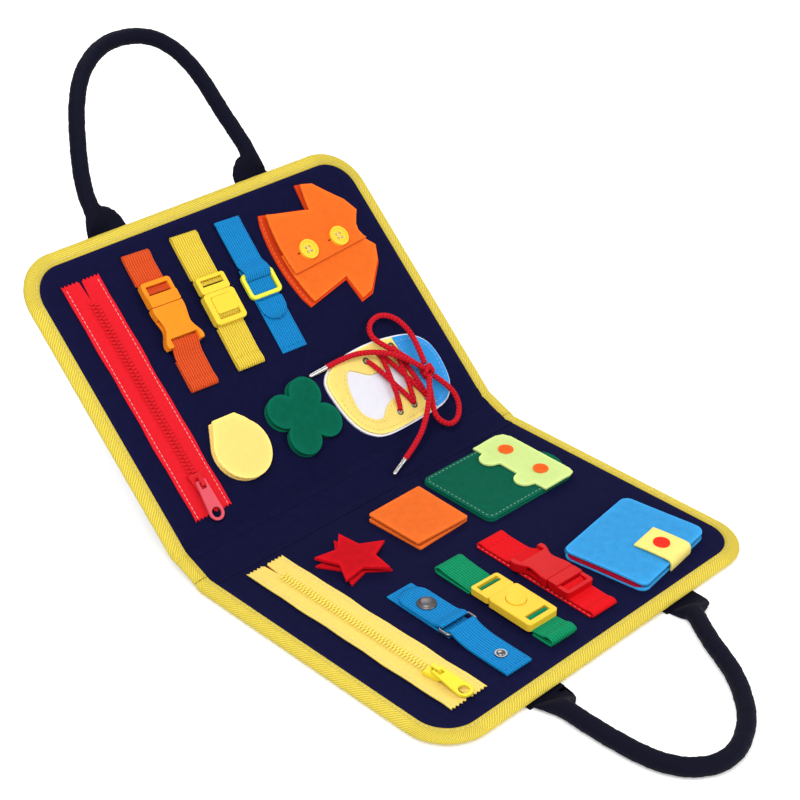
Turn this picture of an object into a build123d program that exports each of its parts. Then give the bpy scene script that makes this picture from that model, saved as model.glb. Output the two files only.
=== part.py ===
from build123d import *
from math import cos, radians, sin, tan
import os

# A fold-up activity board for small children, in felt and webbing. Two padded cloth panels are joined
# by a narrow spine strip. The lower panel lies flat, and the upper panel stands open at an angle. Both
# inner faces carry things to open and close: zips, buckles, snaps, buttons, felt shapes and a shoe.
# Everything on a panel is drawn on that panel's inner face: x runs along the spine, y points from the
# lower panel to the upper panel, and heights are counted up from the face.
# Frame: origin at the middle of the lower panel's underside, +Z up, +Y towards the upper panel.
# All lengths are in millimetres and all angles in degrees.

# ---- board ----
board_width = 300.0
panel_depth = 217.5
panel_thickness = 7.0
corner_radius = 33.0
spine_width = 25.0
spine_thickness = 3.0
open_angle = 42.9
crease_gap = 0.3

# ---- cloth and tapes ----
binding_width = 10.5
binding_tape = 0.9
cover_cloth = 0.6
lining_cloth = 0.6
felt = 1.5
fit_gap = 0.3

# ---- carrying handles ----
handle_spacing = 130.0
handle_tube = 11.5
handle_tab_width = 32.0
handle_tab_length = 57.0
handle_neck_width = 27.0
handle_pivot = 6.0
handle_neck_length = 11.0
handle_hinge_gap = 0.55
# each handle's loop, from just inside its right neck round to its left one: along the spine, and out
# from the crease
lower_handle_run = ((60, 234), (50, 253), (27, 285), (3, 311.5), (-32, 327), (-60, 314), (-70, 280),
                    (-70.5, 256), (-68, 234))
upper_handle_run = ((66, 234), (67, 262), (66, 303), (48, 339), (18, 346.3), (-15, 334), (-43, 301),
                    (-61, 264), (-67, 234))

# ---- closure ----
closure_button_radius = 9.5
closure_button_thickness = 3.0
closure_button_inset = 22.0
button_hole_radius = 1.0
button_hole_spacing = 3.4
button_rim = 1.6
button_dish = 0.7
closure_cord = 2.4
closure_cord_route = ((-5, 0, 0), (-5, 9, 4), (-7, 22, 8), (-9, 36, 10), (-6, 48, 11),
                      (6, 48, 11), (9, 36, 10), (7, 22, 8), (5, 9, 4), (5, 0, 0))

# ---- zips: tape, chain of teeth, slider and puller ----
zip_tape_width = 30.0
zip_tape_thickness = 1.0
zip_pink = 3.0
zip_tooth = 1.3
zip_chain_width = 6.6
zip_chain_height = 1.3
zip_cord_width = 2.4
zip_mouth_width = 3.0
zip_slider_length = 13.0
zip_slider_width = 10.5
zip_slider_plate = 1.6
zip_bridge_width = 3.0
zip_bridge_length = 7.0
zip_bridge_wall = 1.2
zip_bar_radius = 0.8
zip_puller_length = 28.0
zip_puller_width = 11.0
zip_puller_neck = 7.6
zip_puller_thickness = 1.4
zip_puller_hole = 7.2
zip_puller_arm = 1.8
zip_puller_droop = 5.0
red_zip_place = (-107.5, 14.0)
red_zip_length = 178.0
red_zip_chain = (16.0, 160.0)
yellow_zip_place = (-105.5, -193.0)
yellow_zip_length = 180.0
yellow_zip_chain = (21.0, 163.0)
zip_lining_width = 24.0

# ---- straps and buckles ----
webbing = 1.3
webbing_width = 21.5
strap_reach = 52.0
buckle_floor = 2.9
side_buckle_thickness = 6.2
side_frame_thickness = 5.2
side_plug_length = 18.5
side_socket_length = 30.0
side_frame_width = 24.0
side_shoulder = 8.5
side_window = 7.0
side_wall = 1.1
side_cavity_depth = 21.5
side_cavity_width = 18.6
# half widths of the socket at each distance from its mouth
side_socket_waist = ((0.0, 12.2), (6.0, 12.2), (12.5, 10.9), (17.0, 10.7), (23.0, 13.6), (27.5, 15.0),
                     (30.0, 14.2))
side_pad_from = 8.5
side_pad_to = 18.5
arm_width = 3.3
tongue_width = 5.0
prong_gap = 0.4
bar_thickness = 1.1
rim_round = 0.8
centre_buckle_width = 25.0
centre_buckle_thickness = 5.6
centre_frame_thickness = 4.6
centre_wall = 1.0
prong_thickness = 1.0
pad_flange = 1.0
pad_flange_thickness = 0.6
pad_rise = 0.9
pad_gap = 0.3
window_width = 18.0
window_length = 5.0
square_pad = (17.0, 12.5)
round_pad_radius = 6.5
strap_slope = 3.0

# each buckle: where its mouth is, its turn, and how far its plug's strap and its body's strap reach
orange_buckle_place = (-62.5, 153.0, -2.7)
orange_straps = (42.0, 61.0)
yellow_buckle_place = (-21.4, 148.0, -2.8)
yellow_straps = (47.0, 56.0)
yellow_plug_length = 12.5
yellow_body_length = 23.5
yellow_pad_place = 10.0
green_buckle_place = (-22.3, -142.5, -2.0)
green_straps = (48.5, 53.0)
green_plug_length = 16.0
green_body_length = 36.5
green_button_place = 12.5
red_buckle_place = (17.5, -156.0, 178.0)
red_straps = (38.5, 62.5)

# ---- belt with its keeper ring ----
belt_place = (17.3, 142.0, -2.5)
belt_ring_width = 28.0
belt_ring_length = 20.0
belt_ring_bar = 3.0
belt_ring_height = 2.6
belt_tongue_end = -28.0
belt_tongue_root = -12.0

# ---- snap strap ----
snap_place = (-62.7, -143.0, -1.3)
snap_ring_wire = 1.0
snap_ring_width = 27.0
snap_ring_length = 9.0
snap_tongue_end = 47.0
snap_cap_place = 27.0
snap_cap_radius = 6.5
snap_cap_height = 2.4
grommet_place = -36.5
grommet_radius = 3.6
grommet_hole = 1.7
grommet_height = 0.7

# ---- felt shapes ----
stud_radius = 4.0
stud_height = 1.7
shape_thickness = 2.0
lemon_place = (-65.7, 43.5)
lemon_radius = 21.5
lemon_nub = ((-9.5, 21.5), (5.5, 24.0), (14.0, 18.5))
clover_place = (-9.0, 44.5)
clover_turn = 12.0
clover_lobe = 13.2
clover_spread = 12.3
star_place = (-60.5, -50.0)
star_radius = 26.0
star_waist = 13.2
star_turn = -2.0
square_place = (2.0, -46.0, -1.0)
square_side = 47.0

# ---- shirt ----
shirt_place = (82.0, 150.0)
# half of the outline, from the middle of the neck round to the middle of the hem
shirt_neck_dip = (33.5, 0.0)
shirt_half = ((42.0, 14.5), (36.5, 25.5), (17.0, 44.5), (7.0, 47.0), (4.0, 27.5), (-34.0, 36.0), (-38.5, 0.0))
shirt_placket = -10.0
shirt_overlap = 14.0
shirt_margin = 1.5
shirt_buttons = ((-16.0, 0.5), (14.0, 1.0))
shirt_button_radius = 7.5
shirt_button_thickness = 2.2
button_shank_radius = 1.6

# ---- shoe ----
shoe_place = (70.0, 40.0)
sole_points = ((-48, 20), (-49, 2), (-45, -16), (-36, -28), (-22, -33.5), (8, -33.5), (36, -31),
               (49, -20), (53, -3), (51, 13), (42, 23), (30, 28), (0, 32), (-32, 29.5))
upper_inset = 2.2
tongue_window = ((-28, 19), (-34, 7), (-35, -10), (-28, -19), (-20, -21), (-13.5, -16), (-6, -12.5),
                 (14, -8), (16, 8), (-4, 10), (-12, 11), (-22, 18))
heel_line = ((24.0, 40.0), (26.0, 12.0), (31.5, -40.0))
eyelets = ((-8.5, 20.5), (4.5, 21.0), (18.0, 22.5), (-5.0, -22.5), (9.0, -22.5), (22.0, -22.0))
eyelet_radius = 2.6
eyelet_hole = 1.3
eyelet_height = 0.5

# ---- shoe lace: places on the upper panel's face, and heights above it ----
lace = 4.0
knot_place = (100.0, 34.0, 9.2)
knot_radius = 5.6
lacing_bow = 0.8
upper_loop_route = ((101.3, 39.8, 9.4), (104.5, 54, 9.2), (105.5, 68, 8), (101, 80, 7), (91, 86.5, 6),
                    (79, 84, 6), (72, 75, 8), (75.5, 64, 11.5), (84, 54, 12.6), (96.3, 38.6, 9.8))
left_tail_route = ((94.9, 37.0, 13.6), (85, 47, 15.5), (74, 57.5, 14), (60, 65.5, 10), (45, 69, 6.8),
                   (28, 68.5, 4.2))
right_loop_route = ((103.1, 29, 9.2), (110.5, 17, 9.5), (110.5, 4, 10), (101.5, -6.5, 11), (90, -8.5, 11.8),
                    (82.5, 1, 12), (88, 14, 11.8), (97, 29, 9.8))
lower_tail_route = ((95.6, 29.6, 13.7), (86.5, 19, 16), (75, 6, 15.5), (59, -7, 14), (40, -14.5, 12.5))
tip_length = 16.0
tip_radius = 1.5

# ---- satchel ----
satchel_place = (77.0, -49.5, -1.0)
satchel_size = (84.0, 66.0)
satchel_corner = 6.0
satchel_flap_reach = 31.0
satchel_tab_reach = 9.0
satchel_tab_radius = 7.5
satchel_tab_places = (17.0, -16.0)
satchel_dot_radius = 5.5
satchel_dot_inset = 16.0
satchel_handle_radius = 13.0
satchel_handle_band = 5.0
satchel_handle_rise = 0.62

# ---- wallet ----
wallet_place = (83.0, -164.5, 8.0)
wallet_size = (78.0, 62.0)
wallet_inside = 3.4
wallet_corner = 3.0
wallet_spine_wall = 1.6
wallet_page_inset = 3.0
wallet_tab_width = 25.0
wallet_tab_reach = 27.0
wallet_tab_place = 4.0
wallet_dot_radius = 5.0
wallet_dot_height = 0.5

os.makedirs("parts", exist_ok=True)


# ---- where things are ----
def panel_face(origin, angle):
    """The plane of a panel's inner face, turned up about the spine."""
    return Plane(origin=origin, x_dir=(1, 0, 0), z_dir=(0, -sin(radians(angle)), cos(radians(angle))))


lower_face = panel_face((0, panel_depth / 2, panel_thickness), 0)
spine_face = panel_face(lower_face.origin, open_angle / 2)
upper_face = panel_face(spine_face.from_local_coords((0, spine_width, 0)), open_angle)


def spot(face, x, y, height=0.0, turn=0.0):
    """A plane that lies on a face at (x, y), raised by height and turned about the face's normal."""
    along = face.x_dir * cos(radians(turn)) + face.y_dir * sin(radians(turn))
    return Plane(origin=face.from_local_coords((x, y, height)), x_dir=along, z_dir=face.z_dir)


def cut_across(at):
    """The plane of a piece's long section: its x runs along the piece and its y points up."""
    return Plane(origin=at.origin, x_dir=at.y_dir, z_dir=at.x_dir)


def finish(name, piece):
    """Name a finished piece and write it to its own file."""
    piece.label = name
    export_step(piece, f"parts/{name}.step")


def group(*pieces):
    """Several separate solids that share one node."""
    solids = [solid for piece in pieces for solid in piece.solids()]
    return Compound(solids)


# ---- panels ----
def panel_sheet(face, height, way, inset, depth=panel_depth, radius=corner_radius):
    """One layer of a panel: square along the crease and round at its two free corners."""
    near = way * crease_gap
    far = way * (depth - inset)
    with BuildSketch(face.offset(height)) as sheet:
        with Locations((0, (near + far) / 2)):
            Rectangle(board_width - 2 * inset, abs(far - near))
        free_corners = sheet.vertices().group_by(Axis.Y)[-1 if way > 0 else 0]
        fillet(free_corners, radius - inset)
    return sheet.sketch


def handle_tabs(face, height, way, clearance):
    """The two stitched ends of a handle, flat on the outer cloth and round at their inner ends."""
    tip = way * (panel_depth - handle_tab_length + handle_tab_width / 2)
    root = way * (panel_depth + handle_pivot - fit_gap / 2)
    width = handle_tab_width + 2 * clearance
    with BuildSketch(face.offset(height)) as tabs:
        with Locations((-handle_spacing / 2, (tip + root) / 2), (handle_spacing / 2, (tip + root) / 2)):
            Rectangle(width, abs(root - tip))
        with Locations((-handle_spacing / 2, tip), (handle_spacing / 2, tip)):
            Circle(width / 2)
    return tabs.sketch


def make_panel(side, face, way, button_pocket=None):
    """A padded panel: outer cover with its handle tabs, stiffener, lining and edge binding."""
    underside = -panel_thickness
    plate = underside + binding_tape
    board_floor = plate + cover_cloth
    board_top = -binding_tape - lining_cloth
    with BuildPart() as cover:
        extrude(panel_sheet(face, underside, way, binding_width), amount=binding_tape)
        extrude(panel_sheet(face, plate, way, binding_tape), amount=cover_cloth)
        extrude(handle_tabs(face, underside, way, fit_gap), amount=binding_tape, mode=Mode.SUBTRACT)
        if button_pocket:
            extrude(button_pocket, amount=panel_thickness, mode=Mode.SUBTRACT)
    with BuildPart() as tabs:
        extrude(handle_tabs(face, underside, way, 0), amount=binding_tape)
    with BuildPart() as stiffener:
        extrude(panel_sheet(face, board_floor, way, binding_tape + fit_gap), amount=board_top - board_floor)
        if button_pocket:
            pocket_depth = closure_button_thickness + fit_gap
            extrude(button_pocket, amount=pocket_depth, mode=Mode.SUBTRACT)
    with BuildPart() as lining:
        extrude(panel_sheet(face, board_top, way, binding_tape), amount=lining_cloth)
        extrude(panel_sheet(face, -binding_tape, way, binding_width), amount=binding_tape)
    with BuildPart() as binding:
        extrude(panel_sheet(face, underside, way, 0), amount=panel_thickness)
        extrude(panel_sheet(face, underside, way, binding_width), amount=panel_thickness, mode=Mode.SUBTRACT)
        extrude(panel_sheet(face, plate, way, binding_tape),
                amount=panel_thickness - 2 * binding_tape, mode=Mode.SUBTRACT)
        extrude(handle_tabs(face, underside, way, fit_gap), amount=binding_tape, mode=Mode.SUBTRACT)
    finish(f"{side}_cover", group(cover.part, tabs.part))
    finish(f"{side}_stiffener", stiffener.part)
    finish(f"{side}_lining", lining.part)
    finish(f"{side}_binding", binding.part)


def make_spine():
    """The strip between the panels, and the binding over its two ends."""
    length = board_width - 2 * binding_tape
    strip = spine_width - 2 * crease_gap
    with BuildSketch(spine_face.offset(-spine_thickness)) as whole:
        with Locations((0, spine_width / 2)):
            Rectangle(board_width, strip)
    with BuildSketch(spine_face.offset(-spine_thickness)) as middle:
        with Locations((0, spine_width / 2)):
            Rectangle(board_width - 2 * binding_width, strip)
    with BuildSketch(spine_face.offset(binding_tape - spine_thickness)) as core:
        with Locations((0, spine_width / 2)):
            Rectangle(length, strip)
    core_height = spine_thickness - 2 * binding_tape
    with BuildPart() as cover:
        extrude(middle.sketch, amount=spine_thickness)
        extrude(core.sketch, amount=core_height)
    with BuildPart() as binding:
        extrude(whole.sketch, amount=spine_thickness)
        extrude(middle.sketch, amount=spine_thickness, mode=Mode.SUBTRACT)
        extrude(core.sketch, amount=core_height, mode=Mode.SUBTRACT)
    finish("spine_cover", cover.part)
    finish("spine_binding", binding.part)


# ---- soft round things ----
def bend_radii(points):
    """The radius at each inner point of a route, as large as the two runs beside it allow."""
    radii = []
    for before, here, after in zip(points, points[1:], points[2:]):
        run_in = Vector(*here) - Vector(*before)
        run_out = Vector(*after) - Vector(*here)
        turn = run_in.get_angle(run_out)
        radii.append(0.45 * min(run_in.length, run_out.length) / tan(radians(turn / 2)))
    return radii


def tube(points, diameter):
    """A round tube along a route of straight runs joined by tangent arcs."""
    with BuildLine() as route:
        path = FilletPolyline(*points, radius=bend_radii(points))
    start = Plane(origin=path @ 0, z_dir=path % 0)
    with BuildPart() as cord:
        with BuildSketch(start):
            Circle(diameter / 2)
        sweep(path=route.line)
    return cord.part


def make_handle(side, face, way, run):
    """A stuffed cloth handle: a round loop whose two ends flatten where they meet their tabs."""
    root_height = binding_tape / 2 - panel_thickness
    tube_height = handle_tube / 2 + fit_gap - panel_thickness
    start = panel_depth + handle_pivot + handle_hinge_gap
    neck = start + handle_neck_length
    points = [face.from_local_coords((x, way * y, tube_height)) for x, y in run]
    with BuildPart() as handle:
        for x, top_x in ((handle_spacing / 2, run[0][0]), (-handle_spacing / 2, run[-1][0])):
            root = Plane(origin=face.from_local_coords((x, way * start, root_height)),
                         x_dir=face.x_dir, z_dir=face.y_dir * way)
            with BuildSketch(root):
                Ellipse(handle_neck_width / 2, binding_tape / 2)
            middle = Plane(origin=face.from_local_coords(((x + top_x) / 2, way * (start * 0.45 + neck * 0.55),
                                                          tube_height * 0.55 + root_height * 0.45)),
                           x_dir=face.x_dir, z_dir=face.y_dir * way)
            with BuildSketch(middle):
                Ellipse(handle_neck_width * 0.42, handle_tube * 0.24)
            top = Plane(origin=face.from_local_coords((top_x, way * neck, tube_height)),
                        x_dir=face.x_dir, z_dir=face.y_dir * way)
            with BuildSketch(top):
                Circle(handle_tube / 2 + fit_gap)
            loft()
    loop = tube([tuple(point) for point in points], handle_tube)
    finish(f"{side}_handle", handle.part + loop)


def flat_button(at, radius, thickness):
    """A round button with a raised rim and four thread holes."""
    with BuildPart() as button:
        with BuildSketch(at):
            Circle(radius)
        extrude(amount=thickness)
        with BuildSketch(at.offset(thickness - button_dish)):
            Circle(radius - button_rim)
        extrude(amount=button_dish, mode=Mode.SUBTRACT)
        with BuildSketch(at):
            with GridLocations(button_hole_spacing, button_hole_spacing, 2, 2):
                Circle(button_hole_radius)
        extrude(amount=thickness, mode=Mode.SUBTRACT)
    return button.part


def make_closure():
    """The closing button, sunk in the lower panel's outer cloth, and the elastic loop of the upper panel."""
    centre = -(panel_depth - closure_button_inset)
    under = Plane(origin=lower_face.from_local_coords((0, centre, fit_gap - panel_thickness
                                                       + closure_button_thickness)),
                  x_dir=lower_face.x_dir, z_dir=-lower_face.z_dir)
    finish("closure_button", flat_button(under, closure_button_radius, closure_button_thickness))
    edge = panel_depth - binding_width
    root = -panel_thickness - closure_cord / 2
    points = [tuple(upper_face.from_local_coords((x, edge - along, root - drop)))
              for x, along, drop in closure_cord_route]
    print("closure cord radii", [round(radius, 1) for radius in bend_radii(points)])
    finish("closure_loop", tube(points, closure_cord))


# ---- zips ----
def zip_tape(at, length, chain):
    """Zip tape with pinked ends, open for a short way past each end of its chain of teeth."""
    half = zip_tape_width / 2
    steps = round(zip_tape_width / zip_pink)
    pink = zip_tape_width / steps
    start_edge = [(half - pink * k / 2, (k % 2) * pink / 2) for k in range(2 * steps + 1)]
    end_edge = [(-half + pink * k / 2, length - (k % 2) * pink / 2) for k in range(2 * steps + 1)]
    with BuildPart() as tape:
        with BuildSketch(at):
            with BuildLine():
                Polyline(*start_edge, *end_edge, close=True)
            make_face()
        extrude(amount=zip_tape_thickness)
        with BuildSketch(at):
            with BuildLine():
                Polyline((-zip_mouth_width / 2, -pink), (zip_mouth_width / 2, -pink), (0, chain[0] - pink),
                         close=True)
            make_face()
            with BuildLine():
                Polyline((-zip_mouth_width / 2, length + pink), (zip_mouth_width / 2, length + pink),
                         (0, chain[1] + pink), close=True)
            make_face()
        extrude(amount=zip_tape_thickness, mode=Mode.SUBTRACT)
    reach = chain[1] - chain[0]
    pairs = int(reach / (2 * zip_tooth))
    step = reach / pairs
    with BuildSketch(at.offset(zip_tape_thickness)) as teeth:
        with Locations((0, (chain[0] + chain[1]) / 2)):
            Rectangle(zip_cord_width, reach)
        with Locations(*[(-zip_chain_width / 4, chain[0] + step * (k + 0.25)) for k in range(pairs)]):
            Rectangle(zip_chain_width / 2, zip_tooth)
        with Locations(*[(zip_chain_width / 4, chain[0] + step * (k + 0.75)) for k in range(pairs)]):
            Rectangle(zip_chain_width / 2, zip_tooth)
    with BuildPart() as chain_part:
        extrude(teeth.sketch, amount=zip_chain_height)
    return tape.part, chain_part.part


def zip_heights():
    """The slider's underside, its top and the height of the puller's bar, above the tape's face."""
    plate_floor = zip_tape_thickness + zip_chain_height + fit_gap
    plate_top = plate_floor + zip_slider_plate
    return plate_floor, plate_top, plate_top + 2 * zip_bar_radius


def zip_slider(at, chain_start):
    """The slider over the closed end of the chain, with a bridge that holds the puller's bar."""
    plate_floor, plate_top, bar = zip_heights()
    middle = chain_start + zip_slider_length / 2 - fit_gap
    bridge_top = bar + zip_bar_radius + fit_gap + zip_bridge_wall
    inner = zip_chain_width + 2 * fit_gap
    with BuildPart() as slider:
        with BuildSketch(at.offset(zip_tape_thickness + fit_gap)):
            with Locations((0, middle)):
                Trapezoid(zip_slider_width, zip_slider_length, 82, rotation=180)
        extrude(amount=plate_top - zip_tape_thickness - fit_gap)
        edges_on_top = slider.faces().sort_by(Axis(at.origin, at.z_dir))[-1].edges()
        fillet(edges_on_top, zip_slider_plate * 0.4)
        with BuildSketch(at.offset(zip_tape_thickness)):
            with Locations((0, middle)):
                Rectangle(inner, zip_slider_length + 2 * fit_gap)
        extrude(amount=plate_floor - zip_tape_thickness, mode=Mode.SUBTRACT)
        with BuildSketch(at.offset(plate_top - zip_slider_plate / 2)):
            with Locations((0, middle)):
                Rectangle(zip_bridge_width, zip_bridge_length)
        extrude(amount=bridge_top - plate_top + zip_slider_plate / 2)
        across = cut_across(at)
        with BuildSketch(across.offset(-zip_bridge_width)):
            with Locations((middle, (plate_top + bridge_top - zip_bridge_wall) / 2)):
                Rectangle(zip_bridge_length - 2 * zip_bridge_wall, bridge_top - zip_bridge_wall - plate_top)
        extrude(amount=2 * zip_bridge_width, mode=Mode.SUBTRACT)
    return slider.part


def zip_puller(at, chain_start, turn):
    """The puller: a bar under the slider's bridge, two arms, and a tongue with a ring at its end."""
    bar = zip_heights()[2]
    middle = chain_start + zip_slider_length / 2 - fit_gap
    pivot = Plane(origin=at.from_local_coords((0, middle, bar)), x_dir=at.x_dir, z_dir=at.z_dir)
    droop = radians(zip_puller_droop)
    flat = Plane(origin=pivot.origin, x_dir=pivot.x_dir,
                 z_dir=pivot.z_dir * cos(droop) - pivot.y_dir * sin(droop))
    ring = zip_puller_width / 2
    arm_end = zip_bridge_length / 2 + zip_puller_arm
    with BuildPart() as puller:
        with BuildSketch(flat.offset(-zip_puller_thickness / 2)):
            with BuildLine():
                Polyline((-zip_puller_neck / 2, 0), (zip_puller_neck / 2, 0),
                         (ring, ring - zip_puller_length), (-ring, ring - zip_puller_length), close=True)
            make_face()
            with Locations((0, ring - zip_puller_length)):
                Circle(ring)
                Circle(zip_puller_hole / 2, mode=Mode.SUBTRACT)
            with Locations((0, -arm_end / 2)):
                Rectangle(zip_puller_neck - 2 * zip_puller_arm, arm_end, mode=Mode.SUBTRACT)
        extrude(amount=zip_puller_thickness)
        with BuildSketch(Plane(origin=flat.origin, x_dir=flat.y_dir, z_dir=flat.x_dir)):
            Circle(zip_bar_radius)
        extrude(amount=zip_puller_neck / 2, both=True)
    return puller.part


def make_zip(name, face, place, length, chain, lined):
    """A whole zip on a panel's face, some with a strip of lining cloth showing in its open ends."""
    lift = felt / 2 if lined else 0
    at = spot(face, place[0], place[1], lift)
    tape, teeth = zip_tape(at, length, chain)
    pieces = [tape, teeth]
    if lined:
        with BuildPart() as backing:
            with BuildSketch(spot(face, place[0], place[1])):
                with Locations((0, length / 2)):
                    Rectangle(zip_lining_width, length - 2 * zip_pink)
            extrude(amount=lift)
        pieces.append(backing.part)
    finish(f"{name}_zip_tape", group(*pieces))
    finish(f"{name}_zip_slider", zip_slider(at, chain[0]))
    finish(f"{name}_zip_puller", zip_puller(at, chain[0], 0))


# ---- webbing ----
def strap(at, section, width=webbing_width):
    """A piece of webbing: its long section, drawn as (distance along, height), given the webbing's width."""
    with BuildPart() as piece:
        with BuildSketch(cut_across(at)):
            with BuildLine():
                Polyline(*section, close=True)
            make_face()
        extrude(amount=width / 2, both=True)
    return piece.part


def doubled_strap(at, far_end, way, climb_from, climb_to, rise):
    """Doubled webbing from its stitched end to a buckle, where its last stretch climbs towards the bar."""
    thick = 2 * webbing
    flat = [(way * far_end, 0), (way * climb_to, 0), (way * climb_to, thick), (way * far_end, thick)]
    hump = [(way * climb_from, thick), (way * climb_to, thick), (way * climb_to, thick + rise)]
    return strap(at, flat) + strap(at, hump, window_width - 2 * fit_gap)


# ---- side-release buckles ----
def make_side_buckle(name, face, spot_and_turn, straps):
    """A contoured side-release buckle and its two straps. Its plug slides out along local +y."""
    x, y, turn = spot_and_turn
    plug_reach, socket_reach = straps
    place = spot(face, x, y, 0, turn).location
    at = Plane.XY
    window_end = side_shoulder + side_window
    frame_end = side_plug_length
    frame_middle = (frame_end + fit_gap) / 2
    with BuildPart() as plug:
        with BuildSketch(at.offset(buckle_floor)):
            with Locations((0, frame_middle)):
                RectangleRounded(side_frame_width, frame_end - fit_gap, 2.5)
            with Locations((0, side_shoulder + side_window / 2)):
                Rectangle(window_width, side_window, mode=Mode.SUBTRACT)
        extrude(amount=side_frame_thickness)
        with BuildSketch(at.offset(buckle_floor + side_frame_thickness / 2)):
            with Locations((0, (side_shoulder + fit_gap) / 2)):
                RectangleRounded(side_frame_width, side_shoulder - fit_gap, 1.2)
        extrude(amount=side_buckle_thickness - side_frame_thickness / 2)
        arm_floor = buckle_floor + side_wall + prong_gap
        arm_height = side_buckle_thickness - 2 * side_wall - 2 * prong_gap
        arm_end = -(side_cavity_depth - 2 * prong_gap - arm_width)
        arm_x = side_cavity_width / 2 - prong_gap - arm_width / 2
        root = side_shoulder / 2
        with BuildSketch(at.offset(arm_floor)):
            for x_arm in (-arm_x, arm_x):
                with Locations((x_arm, (root + arm_end) / 2)):
                    SlotOverall(root - arm_end, arm_width, rotation=90)
            with Locations((0, (root + arm_end) / 2)):
                SlotOverall(root - arm_end, tongue_width, rotation=90)
        extrude(amount=arm_height)
    sides = [(half, -along) for along, half in side_socket_waist]
    mirrored = [(-half, along) for half, along in sides[::-1]]
    with BuildPart() as socket:
        with BuildSketch(at.offset(buckle_floor)):
            with BuildLine():
                Spline(*sides)
                Line(sides[-1], mirrored[0])
                Spline(*mirrored)
                Line(mirrored[-1], sides[0])
            make_face()
        extrude(amount=side_buckle_thickness)
        rim = socket.faces().sort_by(Axis(at.origin, at.z_dir))[-1].edges()
        fillet(rim, rim_round)
        inside = side_buckle_thickness - 2 * side_wall
        with BuildSketch(at.offset(buckle_floor + side_wall)):
            with Locations((0, (1 - side_cavity_depth) / 2)):
                Rectangle(side_cavity_width, side_cavity_depth + 1)
            with Locations((0, -(side_pad_from + side_pad_to) / 2)):
                Rectangle(2 * side_frame_width, side_pad_to - side_pad_from)
        extrude(amount=inside, mode=Mode.SUBTRACT)
        notch = side_socket_length - side_cavity_depth - 2 * side_wall
        with BuildSketch(at.offset(buckle_floor + bar_thickness)):
            with Locations((0, -side_socket_length + notch / 2 - 1)):
                Rectangle(webbing_width + 2 * fit_gap, notch + 2)
        extrude(amount=side_buckle_thickness, mode=Mode.SUBTRACT)
    plug_strap = doubled_strap(at, plug_reach, 1, window_end, side_shoulder + fit_gap, strap_slope / 2)
    lip = side_cavity_depth + 2 * side_wall + fit_gap
    rest = buckle_floor + bar_thickness + fit_gap
    ramp_end = side_socket_length + 6
    thick = 2 * webbing
    section = [(-lip, rest), (-side_socket_length - fit_gap, rest), (-ramp_end, 0), (-socket_reach, 0),
               (-socket_reach, thick), (-ramp_end, thick), (-side_socket_length, rest + thick * 0.8),
               (-lip, rest + thick * 0.8)]
    socket_strap = strap(at, section)
    finish(f"{name}_webbing", place * group(plug_strap, socket_strap))
    finish(f"{name}_buckle_plug", place * plug.part)
    finish(f"{name}_buckle_socket", place * socket.part)


# ---- centre-release buckles ----
def pad_outline(round_pad, grow):
    """The push pad's outline in the open sketch, round or square, grown on every side."""
    if round_pad:
        Circle(round_pad_radius + grow)
    else:
        RectangleRounded(square_pad[0] + 2 * grow, square_pad[1] + 2 * grow, 1.5 + grow)


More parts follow.
